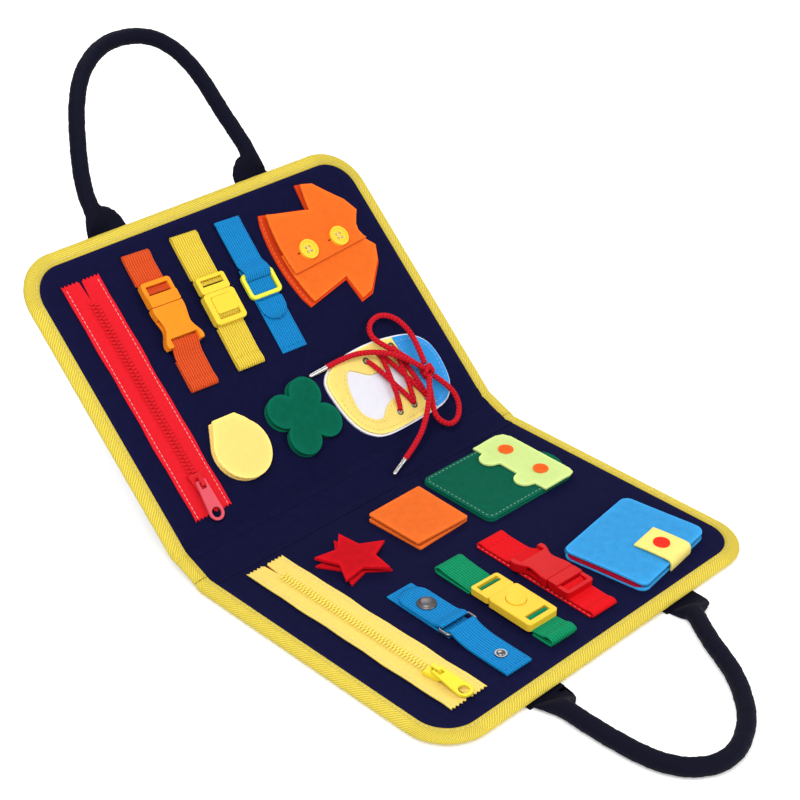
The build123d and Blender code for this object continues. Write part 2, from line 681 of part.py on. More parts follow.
def make_centre_buckle(name, pad_name, face, spot_and_turn, straps, plug_length, body_length, pad_at,
                       round_pad):
    """A centre-release buckle, its push pad and its two straps. Its plug slides out along local +y."""
    x, y, turn = spot_and_turn
    plug_reach, body_reach = straps
    place = spot(face, x, y, 0, turn).location
    at = Plane.XY
    top = buckle_floor + centre_buckle_thickness
    cavity_floor = buckle_floor + centre_wall
    cavity_height = centre_buckle_thickness - 2 * centre_wall
    window_centre = plug_length - centre_wall - fit_gap - window_length / 2 - 1
    prong_end = -(pad_at + square_pad[1] / 2)
    with BuildPart() as plug:
        with BuildSketch(at.offset(buckle_floor)):
            with Locations((0, (plug_length + fit_gap) / 2)):
                RectangleRounded(centre_buckle_width - 1, plug_length - fit_gap, 2)
            with Locations((0, window_centre)):
                Rectangle(window_width, window_length, mode=Mode.SUBTRACT)
        extrude(amount=centre_frame_thickness)
        with BuildSketch(at.offset(cavity_floor + fit_gap)):
            for side in (-1, 1):
                with Locations((side * window_width * 0.36, (prong_end + 2) / 2)):
                    Rectangle(window_width * 0.2, 2 - prong_end)
        extrude(amount=prong_thickness)
    window_back = body_length - window_length / 2 - centre_wall - 2.5
    with BuildPart() as body:
        with BuildSketch(at.offset(buckle_floor)):
            with Locations((0, -body_length / 2)):
                RectangleRounded(centre_buckle_width + 1, body_length, 3)
        extrude(amount=centre_buckle_thickness)
        rim = body.faces().sort_by(Axis(at.origin, at.z_dir))[-1].edges()
        fillet(rim, rim_round)
        with BuildSketch(at.offset(cavity_floor)):
            with Locations((0, (prong_end - 1) / 2)):
                Rectangle(centre_buckle_width - 4 * centre_wall, 1 - prong_end + 2)
        extrude(amount=cavity_height, mode=Mode.SUBTRACT)
        with BuildSketch(at.offset(cavity_floor)):
            with Locations((0, -pad_at)):
                pad_outline(round_pad, pad_gap)
        extrude(amount=centre_buckle_thickness, mode=Mode.SUBTRACT)
        with BuildSketch(at.offset(buckle_floor)):
            with Locations((0, -window_back)):
                Rectangle(window_width, window_length)
        extrude(amount=centre_buckle_thickness, mode=Mode.SUBTRACT)
    flange_floor = cavity_floor + cavity_height - pad_flange_thickness - fit_gap / 3
    with BuildPart() as pad:
        with BuildSketch(at.offset(flange_floor)):
            with Locations((0, -pad_at)):
                pad_outline(round_pad, pad_flange)
        extrude(amount=pad_flange_thickness)
        with BuildSketch(at.offset(flange_floor)):
            with Locations((0, -pad_at)):
                pad_outline(round_pad, 0)
        extrude(amount=top + pad_rise - flange_floor)
        crown = pad.faces().sort_by(Axis(at.origin, at.z_dir))[-1].edges()
        fillet(crown, pad_rise * 0.5)
    half_window = window_length / 2
    plug_strap = doubled_strap(at, plug_reach, 1, window_centre + half_window,
                               window_centre - half_window + fit_gap, strap_slope / 2)
    body_strap = doubled_strap(at, body_reach, -1, window_back + half_window,
                               window_back - half_window + fit_gap, strap_slope / 2)
    finish(f"{name}_webbing", place * group(plug_strap, body_strap))
    finish(f"{name}_buckle_plug", place * plug.part)
    finish(f"{name}_buckle_body", place * body.part)
    finish(pad_name, place * pad.part)


# ---- belt and snap strap ----
def make_belt():
    """A hook-and-loop belt: the upper strap goes through a keeper ring and ends in a round tongue."""
    place = spot(upper_face, belt_place[0], belt_place[1], 0, belt_place[2]).location
    at = Plane.XY
    half = belt_ring_length / 2
    inner = half - belt_ring_bar
    with BuildPart() as ring:
        with BuildSketch(at.offset(webbing + fit_gap)):
            RectangleRounded(belt_ring_width, belt_ring_length, 4)
            RectangleRounded(belt_ring_width - 2 * belt_ring_bar, 2 * inner, 1.5, mode=Mode.SUBTRACT)
        extrude(amount=belt_ring_height)
        fillet(ring.faces().sort_by(Axis.Z)[-1].edges(), belt_ring_bar * 0.3)
    ring_top = webbing + 2 * fit_gap + belt_ring_height
    tongue_floor = webbing + fit_gap / 2
    upper = [(strap_reach, 0), (strap_reach, 2 * webbing), (half + 7, 2 * webbing),
             (half + 1, ring_top + webbing), (inner - 0.5, ring_top + webbing),
             (inner - 3.5, tongue_floor + webbing + fit_gap), (inner - 5, tongue_floor + webbing + fit_gap),
             (inner - 5, tongue_floor + fit_gap), (inner - 4, tongue_floor + fit_gap), (inner - 1, ring_top),
             (half + 0.4, ring_top), (half + 5, webbing), (half + 7, 0)]
    under = [(half + 4, 0), (half + 4, webbing), (-strap_reach, webbing), (-strap_reach, 0)]
    with BuildPart() as tongue:
        with BuildSketch(at.offset(webbing + fit_gap)):
            with Locations((0, (belt_tongue_root + belt_tongue_end + webbing_width / 2) / 2)):
                Rectangle(webbing_width, belt_tongue_root - belt_tongue_end - webbing_width / 2)
            with Locations((0, belt_tongue_end + webbing_width / 2)):
                Circle(webbing_width / 2)
            with Locations((0, belt_tongue_root + webbing_width / 2)):
                Rectangle(webbing_width + 2, webbing_width, mode=Mode.SUBTRACT)
        extrude(amount=webbing)
    finish("belt_webbing", place * group(strap(at, upper), strap(at, under, webbing_width - 0.6)))
    finish("belt_ring", place * ring.part)
    finish("belt_tongue", place * tongue.part)


def make_snap_strap():
    """A strap that turns back through a wire ring and closes on itself with a snap."""
    place = spot(lower_face, snap_place[0], snap_place[1], 0, snap_place[2]).location
    at = Plane.XY
    wire_height = webbing + fit_gap + webbing + fit_gap / 2 + snap_ring_wire
    bar = snap_ring_length / 2
    corner = 2.5
    half = snap_ring_width / 2 - snap_ring_wire
    with BuildPart() as ring:
        with BuildLine(at.offset(wire_height)) as loop:
            FilletPolyline((-half, -bar), (half, -bar), (half, bar), (-half, bar), radius=corner, close=True)
        wire = loop.line
        with BuildSketch(Plane(origin=wire @ 0, z_dir=wire % 0)):
            Circle(snap_ring_wire)
        sweep(path=wire)
    fold = snap_ring_wire + fit_gap / 2
    thick = 2 * webbing
    floor = webbing + fit_gap

    def folded(way, far_end, low):
        """Webbing folded round one bar of the ring, from low up at its far end."""
        across = cut_across(at)
        with BuildPart() as piece:
            with BuildSketch(across):
                with BuildLine():
                    Polyline((way * far_end, low), (way * far_end, low + thick),
                             (way * (bar + 14), low + thick), (way * (bar + 6), floor + thick),
                             (way * bar, wire_height + fold + webbing), (way * bar, floor),
                             (way * (bar + 6), floor), (way * (bar + 14), low), close=True)
                make_face()
                with Locations((way * bar, wire_height)):
                    Circle(fold + webbing)
                    Circle(fold, mode=Mode.SUBTRACT)
            extrude(amount=webbing_width / 2, both=True)
        return piece.part

    with BuildPart() as round_end:
        with BuildSketch(at.offset(floor)):
            with Locations((0, snap_tongue_end - webbing_width / 2)):
                Circle(webbing_width / 2)
        extrude(amount=thick)
    tongue = folded(1, snap_tongue_end - webbing_width / 2, floor) + round_end.part
    with BuildPart() as cap:
        cap_at = at.offset(floor + thick)
        with BuildSketch(cap_at):
            with Locations((0, snap_cap_place)):
                Circle(snap_cap_radius)
        extrude(amount=snap_cap_height)
        crown = cap.faces().sort_by(Axis(at.origin, at.z_dir))[-1].edges()
        fillet(crown, snap_cap_height * 0.8)
    with BuildPart() as punched:
        with BuildSketch(at):
            with Locations((0, grommet_place)):
                Circle(grommet_hole + webbing)
        extrude(amount=2 * thick)
    back = folded(-1, strap_reach, 0) - punched.part
    with BuildPart() as grommet:
        with BuildSketch(at):
            with Locations((0, grommet_place)):
                Circle(grommet_hole + webbing - fit_gap / 2)
        extrude(amount=thick)
        with BuildSketch(at.offset(thick)):
            with Locations((0, grommet_place)):
                Circle(grommet_radius + fit_gap)
        extrude(amount=grommet_height)
        with BuildSketch(at.offset(webbing)):
            with Locations((0, grommet_place)):
                Circle(grommet_hole)
        extrude(amount=thick, mode=Mode.SUBTRACT)
    under = [(strap_reach, 0), (strap_reach, webbing), (-bar + 1, webbing), (-bar + 1, 0)]
    finish("snap_webbing", place * group(back, strap(at, under)))
    finish("snap_ring_and_grommet", place * group(ring.part, grommet.part))
    finish("snap_tongue", place * group(tongue, cap.part))


# ---- felt shapes that snap on ----
def lemon_outline():
    """A round lemon with a clipped nub."""
    with BuildSketch() as lemon:
        Circle(lemon_radius)
        with BuildLine():
            Polyline((-lemon_radius * 0.85, lemon_radius * 0.52), *lemon_nub, (0, 0), close=True)
        make_face()
    return lemon.sketch


def clover_outline():
    """A four-leaf clover: four round lobes about a small square."""
    with BuildSketch() as clover:
        Rectangle(clover_lobe, clover_lobe, rotation=clover_turn)
        with PolarLocations(clover_spread * 1.41, 4, start_angle=45 + clover_turn):
            Circle(clover_lobe)
    return clover.sketch


def star_outline():
    """A five-pointed star."""
    points = []
    for k in range(5):
        tip = radians(star_turn + 72 * k)
        notch = radians(star_turn + 72 * k + 36)
        points.append((star_radius * cos(tip), star_radius * sin(tip)))
        points.append((star_waist * cos(notch), star_waist * sin(notch)))
    with BuildSketch() as star:
        with BuildLine():
            Polyline(*points, close=True)
        make_face()
    return star.sketch


def square_outline():
    """A square with slightly rounded corners."""
    with BuildSketch() as square:
        RectangleRounded(square_side, square_side, felt)
    return square.sketch


def felt_shape(at, outline):
    """A sewn base with a snap stud, and the felt shape that pulls off it. Returns base and top."""
    with BuildPart() as base:
        with BuildSketch(at):
            add(outline)
        extrude(amount=felt)
        with BuildSketch(at.offset(felt)):
            Circle(stud_radius)
        extrude(amount=stud_height)
    with BuildPart() as top:
        with BuildSketch(at.offset(felt + stud_height + fit_gap)):
            add(outline)
        extrude(amount=shape_thickness)
    return base.part, top.part


def make_shapes():
    """The lemon and clover on the upper panel, and the star and square on the lower one."""
    lemon_base, lemon_top = felt_shape(spot(upper_face, *lemon_place), lemon_outline())
    clover_base, clover_top = felt_shape(spot(upper_face, *clover_place), clover_outline())
    star_base, star_top = felt_shape(spot(lower_face, *star_place), star_outline())
    square_at = spot(lower_face, square_place[0], square_place[1], 0, square_place[2])
    square_base, square_top = felt_shape(square_at, square_outline())
    finish("lemon_and_clover_bases", group(lemon_base, clover_base))
    finish("lemon_top", lemon_top)
    finish("clover_top", clover_top)
    finish("star_and_square_bases", group(star_base, square_base))
    finish("star_top", star_top)
    finish("square_top", square_top)


# ---- shirt ----
def shirt_outline(margin):
    """A T-shirt lying on its side, its neck towards +x, with a margin all round."""
    half = list(shirt_half)
    mirrored = [(u, -v) for u, v in half[-2::-1]]
    with BuildSketch() as shirt:
        with BuildLine():
            ThreePointArc(mirrored[-1], shirt_neck_dip, half[0])
            Polyline(*half, *mirrored)
        make_face()
        if margin:
            offset(amount=margin, kind=Kind.ARC)
    return shirt.sketch


def make_shirt():
    """Base layer, sewn front, buttoned front and the two buttons that hold it shut."""
    at = spot(upper_face, *shirt_place)
    wide = 200.0
    with BuildPart() as back:
        with BuildSketch(at):
            add(shirt_outline(shirt_margin))
        extrude(amount=felt)
    with BuildPart() as sewn_front:
        with BuildSketch(at.offset(felt)):
            add(shirt_outline(0))
            with Locations((0, shirt_placket + shirt_overlap + wide / 2)):
                Rectangle(wide, wide, mode=Mode.SUBTRACT)
        extrude(amount=felt)
    front_floor = 2 * felt + fit_gap
    with BuildPart() as front:
        with BuildSketch(at.offset(front_floor)):
            add(shirt_outline(0))
            with Locations((0, shirt_placket - wide / 2)):
                Rectangle(wide, wide, mode=Mode.SUBTRACT)
            for u, v in shirt_buttons:
                with Locations((u, v)):
                    SlotOverall(2 * shirt_button_radius - 2, 2 * button_shank_radius + 2 * fit_gap)
        extrude(amount=felt)
        with BuildSketch(at.offset(front_floor)):
            for u, v in shirt_buttons:
                with Locations((u, v)):
                    SlotOverall(2 * shirt_button_radius - 2, 2 * button_shank_radius + 2 * fit_gap)
        extrude(amount=felt, mode=Mode.SUBTRACT)
    button_floor = front_floor + felt + fit_gap
    buttons = []
    for u, v in shirt_buttons:
        place = spot(upper_face, shirt_place[0] + u, shirt_place[1] + v, button_floor)
        button = flat_button(place, shirt_button_radius, shirt_button_thickness)
        with BuildPart() as shank:
            with BuildSketch(spot(upper_face, shirt_place[0] + u, shirt_place[1] + v, 2 * felt)):
                Circle(button_shank_radius)
            extrude(amount=button_floor + shirt_button_thickness * 0.4 - 2 * felt)
        buttons.append(button + shank.part)
    finish("shirt_back", group(back.part, sewn_front.part))
    finish("shirt_front", front.part)
    finish("shirt_buttons", group(*buttons))


# ---- shoe and its lace ----
def sole_outline(inset):
    """The shoe's outline from the side, as one smooth closed curve, drawn in by an inset."""
    points = [Vector(*point) for point in sole_points]
    moved = []
    for before, here, after in zip(points[-1:] + points[:-1], points, points[1:] + points[:1]):
        along = (after - before).normalized()
        moved.append((here.X - along.Y * inset, here.Y + along.X * inset))
    with BuildSketch() as sole:
        with BuildLine():
            Spline(*moved, periodic=True)
        make_face()
    return sole.sketch


def make_shoe():
    """Sole and tongue, upper with its eyelets, and the heel patch."""
    place = spot(upper_face, *shoe_place).location
    at = Plane.XY
    far = 100.0
    with BuildPart() as sole:
        with BuildSketch(at):
            add(sole_outline(0))
        extrude(amount=felt)
    with BuildPart() as upper:
        with BuildSketch(at.offset(felt)):
            add(sole_outline(upper_inset))
            with BuildLine():
                Polyline(*tongue_window, close=True)
            make_face(mode=Mode.SUBTRACT)
            with BuildLine():
                Polyline(*heel_line, (far, -far), (far, far), close=True)
            make_face(mode=Mode.SUBTRACT)
            with Locations(*eyelets):
                Circle(eyelet_hole, mode=Mode.SUBTRACT)
        extrude(amount=felt)
    rings = []
    for eyelet in eyelets:
        with BuildPart() as ring:
            with BuildSketch(at.offset(2 * felt)):
                with Locations(eyelet):
                    Circle(eyelet_radius)
                    Circle(eyelet_hole, mode=Mode.SUBTRACT)
            extrude(amount=eyelet_height)
        rings.append(ring.part)
    with BuildPart() as heel:
        with BuildSketch(at.offset(felt)):
            add(sole_outline(upper_inset))
            with BuildLine():
                Polyline(*[(u + fit_gap, v) for u, v in heel_line], (-far, -far), (-far, far), close=True)
            make_face(mode=Mode.SUBTRACT)
        extrude(amount=felt)
    finish("shoe_sole", place * sole.part)
    finish("shoe_upper", place * group(upper.part, *rings))
    finish("shoe_heel_patch", place * heel.part)


def make_lace():
    """Lacing across the eyelets and its knot, then the bow's two loops, two tails and their tips."""
    rest = 2 * felt + eyelet_height + lace / 2 + fit_gap
    x0, y0 = shoe_place
    rungs = []
    for low, high, lift in ((3, 0, 0.0), (4, 1, 0.0), (5, 2, 0.0)):
        a = (x0 + eyelets[low][0], y0 + eyelets[low][1], rest + lift)
        b = (x0 + eyelets[high][0], y0 + eyelets[high][1], rest + lift)
        middle = ((a[0] + b[0]) / 2, (a[1] + b[1]) / 2, rest + lift + lacing_bow)
        points = [tuple(upper_face.from_local_coords(point)) for point in (a, middle, b)]
        rungs.append(tube(points, lace))
    with BuildPart() as knot:
        with BuildSketch(spot(upper_face, knot_place[0], knot_place[1], knot_place[2] - knot_radius)):
            Circle(knot_radius)
        extrude(amount=2 * knot_radius)
        fillet(knot.edges(), knot_radius * 0.55)
    finish("shoe_lacing", group(*rungs, knot.part))
    cords = []
    for name, route in (("upper loop", upper_loop_route), ("left tail", left_tail_route),
                        ("right loop", right_loop_route), ("lower tail", lower_tail_route)):
        points = [tuple(upper_face.from_local_coords(point)) for point in route]
        print(name, "radii", [round(radius, 1) for radius in bend_radii(points)])
        cords.append(tube(points, lace))
    finish("lace_bow", group(*cords))
    tips = []
    for route in (left_tail_route, lower_tail_route):
        end = upper_face.from_local_coords(route[-1])
        before = upper_face.from_local_coords(route[-2])
        with BuildPart() as tip:
            with BuildSketch(Plane(origin=end, z_dir=(end - before).normalized())):
                Circle(tip_radius)
            extrude(amount=tip_length)
        tips.append(tip.part)
    finish("lace_tips", group(*tips))


# ---- satchel ----
def make_satchel():
    """A sewn pocket with a small grip, under a flap with two round tabs and their snap caps."""
    at = spot(lower_face, satchel_place[0], satchel_place[1], 0, satchel_place[2])
    length, depth = satchel_size
    hinge = length / 2
    with BuildPart() as pocket:
        with BuildSketch(at):
            RectangleRounded(length, depth, satchel_corner)
        extrude(amount=2 * felt)
    with BuildPart() as grip:
        with BuildSketch(at):
            with Locations((hinge + fit_gap, 0)):
                Ellipse(satchel_handle_radius * satchel_handle_rise, satchel_handle_radius)
                inner = satchel_handle_radius - satchel_handle_band
                Ellipse(inner * satchel_handle_rise, inner, mode=Mode.SUBTRACT)
            with Locations((hinge - satchel_handle_radius + fit_gap, 0)):
                Rectangle(2 * satchel_handle_radius, 4 * satchel_handle_radius, mode=Mode.SUBTRACT)
        extrude(amount=felt)
    flap_floor = 2 * felt + fit_gap
    with BuildPart() as flap:
        with BuildSketch(at.offset(flap_floor)):
            with Locations((hinge - satchel_flap_reach / 2, 0)):
                RectangleRounded(satchel_flap_reach, depth + 2 * felt, 3)
            for v in satchel_tab_places:
                with Locations((hinge - satchel_flap_reach - satchel_tab_reach + satchel_tab_radius, v)):
                    Circle(satchel_tab_radius)
                with Locations((hinge - satchel_flap_reach, v)):
                    Rectangle(satchel_tab_radius, 1.4 * satchel_tab_radius)
        extrude(amount=felt)
    caps = []
    for v in satchel_tab_places:
        with BuildPart() as cap:
            with BuildSketch(at.offset(flap_floor + felt)):
                with Locations((hinge - satchel_dot_inset, v)):
                    Circle(satchel_dot_radius)
            extrude(amount=felt / 2)
        caps.append(cap.part)
    finish("satchel_pocket", group(pocket.part, grip.part))
    finish("satchel_flap", group(flap.part, *caps))


# ---- wallet ----
def make_wallet():
    """A folded wallet: back with its page, a cover that opens at the fold, and a snap tab over its edge."""
    at = spot(lower_face, wallet_place[0], wallet_place[1], 0, wallet_place[2])
    length, depth = wallet_size
    fold = depth / 2
    edge = -depth / 2
    cover_floor = felt + wallet_inside
    with BuildPart() as back:
        with BuildSketch(at):
            RectangleRounded(length, depth, wallet_corner)
        extrude(amount=felt)
        with BuildSketch(at.offset(felt)):
            with Locations((0, fold - wallet_spine_wall / 2)):
                Rectangle(length - 2 * wallet_corner, wallet_spine_wall)
        extrude(amount=wallet_inside - fit_gap)
    with BuildPart() as page:
        with BuildSketch(at.offset(felt)):
            with Locations((0, -wallet_spine_wall)):
                RectangleRounded(length - 2 * wallet_page_inset, depth - 2 * wallet_page_inset, wallet_corner)
        extrude(amount=wallet_inside - 2 * fit_gap)
    with BuildPart() as cover:
        with BuildSketch(at.offset(cover_floor)):
            RectangleRounded(length, depth, wallet_corner)
        extrude(amount=felt)
    band_floor = cover_floor + felt + fit_gap
    hinge_y = edge - fit_gap - felt
    with BuildPart() as tab:
        with BuildSketch(at.offset(band_floor)):
            with Locations((wallet_tab_place, (hinge_y + edge + wallet_tab_reach) / 2)):
                Rectangle(wallet_tab_width, edge + wallet_tab_reach - hinge_y)
        extrude(amount=felt)
        with BuildSketch(at):
            with Locations((wallet_tab_place, hinge_y + felt / 2)):
                Rectangle(wallet_tab_width, felt)
        extrude(amount=band_floor + felt)
    with BuildPart() as cap:
        with BuildSketch(at.offset(band_floor + felt)):
            with Locations((wallet_tab_place, edge + wallet_tab_reach / 2)):
                Circle(wallet_dot_radius)
        extrude(amount=wallet_dot_height)
    finish("wallet_back", group(back.part, page.part))
    finish("wallet_cover", cover.part)
    finish("wallet_tab", group(tab.part, cap.part))


# ---- build the board ----
with BuildSketch(lower_face.offset(-panel_thickness)) as closure_pocket:
    with Locations((0, closure_button_inset - panel_depth)):
        Circle(closure_button_radius + fit_gap)

make_panel("lower", lower_face, -1, closure_pocket.sketch)
make_panel("upper", upper_face, 1)
make_spine()
make_handle("lower", lower_face, -1, lower_handle_run)
make_handle("upper", upper_face, 1, upper_handle_run)
make_closure()
make_zip("red", upper_face, red_zip_place, red_zip_length, red_zip_chain, False)
make_zip("yellow", lower_face, yellow_zip_place, yellow_zip_length, yellow_zip_chain, True)
make_side_buckle("orange", upper_face, orange_buckle_place, orange_straps)
make_centre_buckle("yellow", "yellow_buckle_push_pad", upper_face, yellow_buckle_place, yellow_straps,
                   yellow_plug_length, yellow_body_length, yellow_pad_place, False)
make_centre_buckle("green", "green_buckle_push_button", lower_face, green_buckle_place, green_straps,
                   green_plug_length, green_body_length, green_button_place, True)
make_side_buckle("red", lower_face, red_buckle_place, red_straps)
make_belt()
make_snap_strap()
make_shapes()
make_shirt()
make_shoe()
make_lace()
make_satchel()
make_wallet()
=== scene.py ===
"""Dresses the fold-up felt activity board: cloth, webbing, cords, buckles, lights and camera.

Everything is drawn in millimetres on one of the board's three inner faces, and then put in its
place in metres.
"""

from __future__ import annotations

import logging
import math
from contextlib import contextmanager
from dataclasses import dataclass, field
from enum import Enum
from typing import Callable, Iterable, Iterator, Sequence

import bpy
import numpy as np
from mathutils import Matrix, Vector


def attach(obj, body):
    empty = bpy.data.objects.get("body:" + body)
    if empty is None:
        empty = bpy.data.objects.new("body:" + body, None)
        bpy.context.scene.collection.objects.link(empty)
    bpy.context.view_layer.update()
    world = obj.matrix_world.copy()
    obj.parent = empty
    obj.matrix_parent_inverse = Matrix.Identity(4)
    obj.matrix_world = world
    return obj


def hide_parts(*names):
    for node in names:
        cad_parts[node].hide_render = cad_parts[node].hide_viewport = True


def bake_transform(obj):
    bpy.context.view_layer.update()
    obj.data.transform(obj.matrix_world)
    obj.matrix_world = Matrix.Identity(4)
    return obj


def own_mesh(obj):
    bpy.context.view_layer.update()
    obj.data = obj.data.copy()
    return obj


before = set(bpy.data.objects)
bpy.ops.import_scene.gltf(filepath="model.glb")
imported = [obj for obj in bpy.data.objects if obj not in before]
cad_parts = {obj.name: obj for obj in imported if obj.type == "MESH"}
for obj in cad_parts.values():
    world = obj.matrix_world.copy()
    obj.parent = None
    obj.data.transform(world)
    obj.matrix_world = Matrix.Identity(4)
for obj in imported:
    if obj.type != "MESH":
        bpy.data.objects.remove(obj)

MM = 0.001
LOG = logging.getLogger("activity_board")

Point = tuple[float, float]
Spot = tuple[float, float, float]
Colour = tuple[float, float, float]
Shape = tuple[np.ndarray, list[tuple[int, ...]]]


# ---------------------------------------------------------------- where things are


@dataclass(frozen=True)
class Face:
    """One inner face of the board: x along the crease, y up the face, heights along its normal."""

    body: str
    origin: Spot
    tilt: float

    def place(self, x: float = 0.0, y: float = 0.0, height: float = 0.0, turn: float = 0.0) -> Matrix:
        """A spot on the face, as the matrix that takes millimetres there to metres in the frame.

        Args:
            x: distance along the crease.
            y: distance up the face from the crease.
            height: height above the face.
            turn: turn about the face's normal, in degrees.

        Returns:
            The placing matrix.
        """
        lean = Matrix.Rotation(math.radians(self.tilt), 4, "X")
        local = Matrix.Translation((x, y, height)) @ Matrix.Rotation(math.radians(turn), 4, "Z")
        return Matrix.Scale(MM, 4) @ Matrix.Translation(self.origin) @ lean @ local

    def point(self, x: float, y: float, height: float = 0.0) -> Vector:
        """A point on the face, in metres in the frame."""
        return self.place(x, y, height).translation


# each crease's angle at rest, in degrees
FOLD = 21.45

LOWER = Face("lower_panel", (0.0, 108.75, 7.0), 0.0)
SPINE = Face("spine", (0.0, 108.75, 7.0), FOLD)
UPPER = Face("upper_panel", (0.0, 132.0185, 16.1424), 2 * FOLD)

# one panel, its edge tape and the strip between the two
WIDTH = 300.0
DEPTH = 217.5
THICK = 7.0
SPINE_WIDTH = 25.0
SPINE_THICK = 3.0
CORNER = 33.0
BINDING = 10.5

# where the handles are sewn on, either side of the middle
HANDLE_X = 65.0

# the felt that the things to do are cut from
FELT = 1.5


# ---------------------------------------------------------------- bench tools


def deselect() -> None:
    """Leaves object mode with nothing selected."""
    if bpy.context.object and bpy.context.object.mode != "OBJECT":
        bpy.ops.object.mode_set(mode="OBJECT")
    bpy.ops.object.select_all(action="DESELECT")


def pick(piece: bpy.types.Object) -> None:
    """Selects one piece and makes it the active one."""
    deselect()
    piece.select_set(True)
    bpy.context.view_layer.objects.active = piece


@contextmanager
def editing(piece: bpy.types.Object) -> Iterator[None]:
    """Edit mode on one piece, with all of it selected."""
    pick(piece)
    bpy.ops.object.mode_set(mode="EDIT")
    bpy.ops.mesh.select_all(action="SELECT")
    yield
    bpy.ops.object.mode_set(mode="OBJECT")


def named(name: str) -> bpy.types.Object:
    """Names the piece that was just added, and gives it back."""
    piece = bpy.context.object
    piece.name = name
    piece.data.name = name
    return piece


def apply_modifier(piece: bpy.types.Object, kind: str, **settings: object) -> None:
    """Adds a modifier with its settings and applies it."""
    pick(piece)
    modifier = piece.modifiers.new(kind.title(), kind)
    for key, value in settings.items():
        setattr(modifier, key, value)
    bpy.ops.object.modifier_apply(modifier=modifier.name)


def join(pieces: Sequence[bpy.types.Object], name: str) -> bpy.types.Object:
    """Joins several pieces into one.

    Args:
        pieces: the pieces, of which the first gives its layers.
        name: the joined piece's name.

    Returns:
        The joined piece.
    """
    deselect()
    for piece in pieces:
        piece.select_set(True)
    bpy.context.view_layer.objects.active = pieces[0]
    if len(pieces) > 1:
        bpy.ops.object.join()
    pieces[0].name = name
    pieces[0].data.name = name
    return pieces[0]


def vertices_of(piece: bpy.types.Object) -> np.ndarray:
    """The piece's vertices as an array."""
    spots = np.empty(len(piece.data.vertices) * 3)
    piece.data.vertices.foreach_get("co", spots)
    return spots.reshape(-1, 3)


def set_vertices(piece: bpy.types.Object, spots: np.ndarray) -> None:
    """Moves the piece's vertices."""
    piece.data.vertices.foreach_set("co", spots.ravel())
    piece.data.update()


def draw_map(piece: bpy.types.Object, spots: np.ndarray) -> None:
    """Gives a piece a map in millimetres from one flat spot for each vertex."""
    mesh = piece.data
    layer = mesh.uv_layers.active or mesh.uv_layers.new(name="UVMap")
    corners = np.empty(len(mesh.loops), dtype=np.int32)
    mesh.loops.foreach_get("vertex_index", corners)
    layer.uv.foreach_set("vector", spots[corners].astype(np.float32).ravel())


def flat_map(piece: bpy.types.Object) -> None:
    """Gives a piece that lies flat a map in millimetres, so that cloth patterns keep their scale."""
    draw_map(piece, vertices_of(piece)[:, :2])


def smooth_shading(piece: bpy.types.Object, angle: float = 40.0) -> None:
    """Smooth shading, with creases left sharp above an angle in degrees."""
    pick(piece)
    bpy.ops.object.shade_smooth_by_angle(angle=math.radians(angle))


def turn_faces_out(piece: bpy.types.Object) -> None:
    """Turns every face outwards."""
    with editing(piece):
        bpy.ops.mesh.normals_make_consistent(inside=False)


def turn_faces_from(piece: bpy.types.Object, inside: Vector) -> None:
    """Turns an open skin's faces away from a point inside it."""
    turn_faces_out(piece)
    near = max(piece.data.polygons, key=lambda p: (p.center - inside).length)
    if near.normal.dot(near.center - inside) < 0:
        with editing(piece):
            bpy.ops.mesh.flip_normals()


def sheet_of(
    name: str, columns: int, rows: int, spot: Callable[[float, float], Sequence[float]], size: Point
) -> bpy.types.Object:
    """A grid whose points are moved one by one, with a map in millimetres.

    Args:
        name: the piece's name.
        columns: squares across.
        rows: squares along.
        spot: where the point at shares (across, along) goes.
        size: width and length that the map covers.

    Returns:
        The sheet.
    """
    deselect()
    bpy.ops.mesh.primitive_grid_add(x_subdivisions=columns, y_subdivisions=rows, size=1, calc_uvs=True)
    piece = named(name)
    shares = vertices_of(piece)[:, :2] + 0.5
    set_vertices(piece, np.array([tuple(spot(a, b)) for a, b in shares], float))
    draw_map(piece, shares * np.array(size))
    return piece


def taken_apart(model: bpy.types.Object) -> Shape:
    """A model's vertices and faces; the model itself is removed."""
    shape = vertices_of(model)
    faces = [tuple(face.vertices) for face in model.data.polygons]
    bpy.data.objects.remove(model)
    return shape, faces


def laid_copies(name: str, copies: Sequence[np.ndarray], faces: Sequence[tuple[int, ...]]) -> bpy.types.Object:
    """Makes one piece of many copies of a model.

    Args:
        name: the piece's name.
        copies: the vertices of each copy.
        faces: the model's faces, the same for each copy.

    Returns:
        The piece, with a map in millimetres.
    """
    count = len(copies[0])
    polygons = [tuple(count * n + corner for corner in face) for n in range(len(copies)) for face in faces]
    mesh = bpy.data.meshes.new(name)
    mesh.from_pydata(np.concatenate(copies).tolist(), [], polygons)
    piece = bpy.data.objects.new(name, mesh)
    bpy.context.collection.objects.link(piece)
    turn_faces_out(piece)
    flat_map(piece)
    return piece


def settle(
    piece: bpy.types.Object,
    place: Matrix,
    body: str,
    finish: bpy.types.Material,
    slot: str,
    stands_for: Sequence[str] = (),
    angle: float = 40.0,
) -> bpy.types.Object:
    """Puts a finished piece in its place, dresses it and lets it ride on its body.

    Args:
        piece: the piece, in millimetres.
        place: its placing matrix.
        body: the body that it rides on, or nothing when it rides on none.
        finish: its material.
        slot: the material slot's name; not used.
        stands_for: the modelled parts that it stands for.
        angle: creases above this many degrees stay sharp.

    Returns:
        The piece.
    """
    smooth_shading(piece, angle)
    piece.data.transform(place)
    piece.data.materials.clear()
    piece.data.materials.append(finish)
    if body:
        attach(piece, body)
    if stands_for:
        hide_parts(*stands_for)
    LOG.info("%s: %d faces", piece.name, len(piece.data.polygons))
    return piece


# ---------------------------------------------------------------- outlines


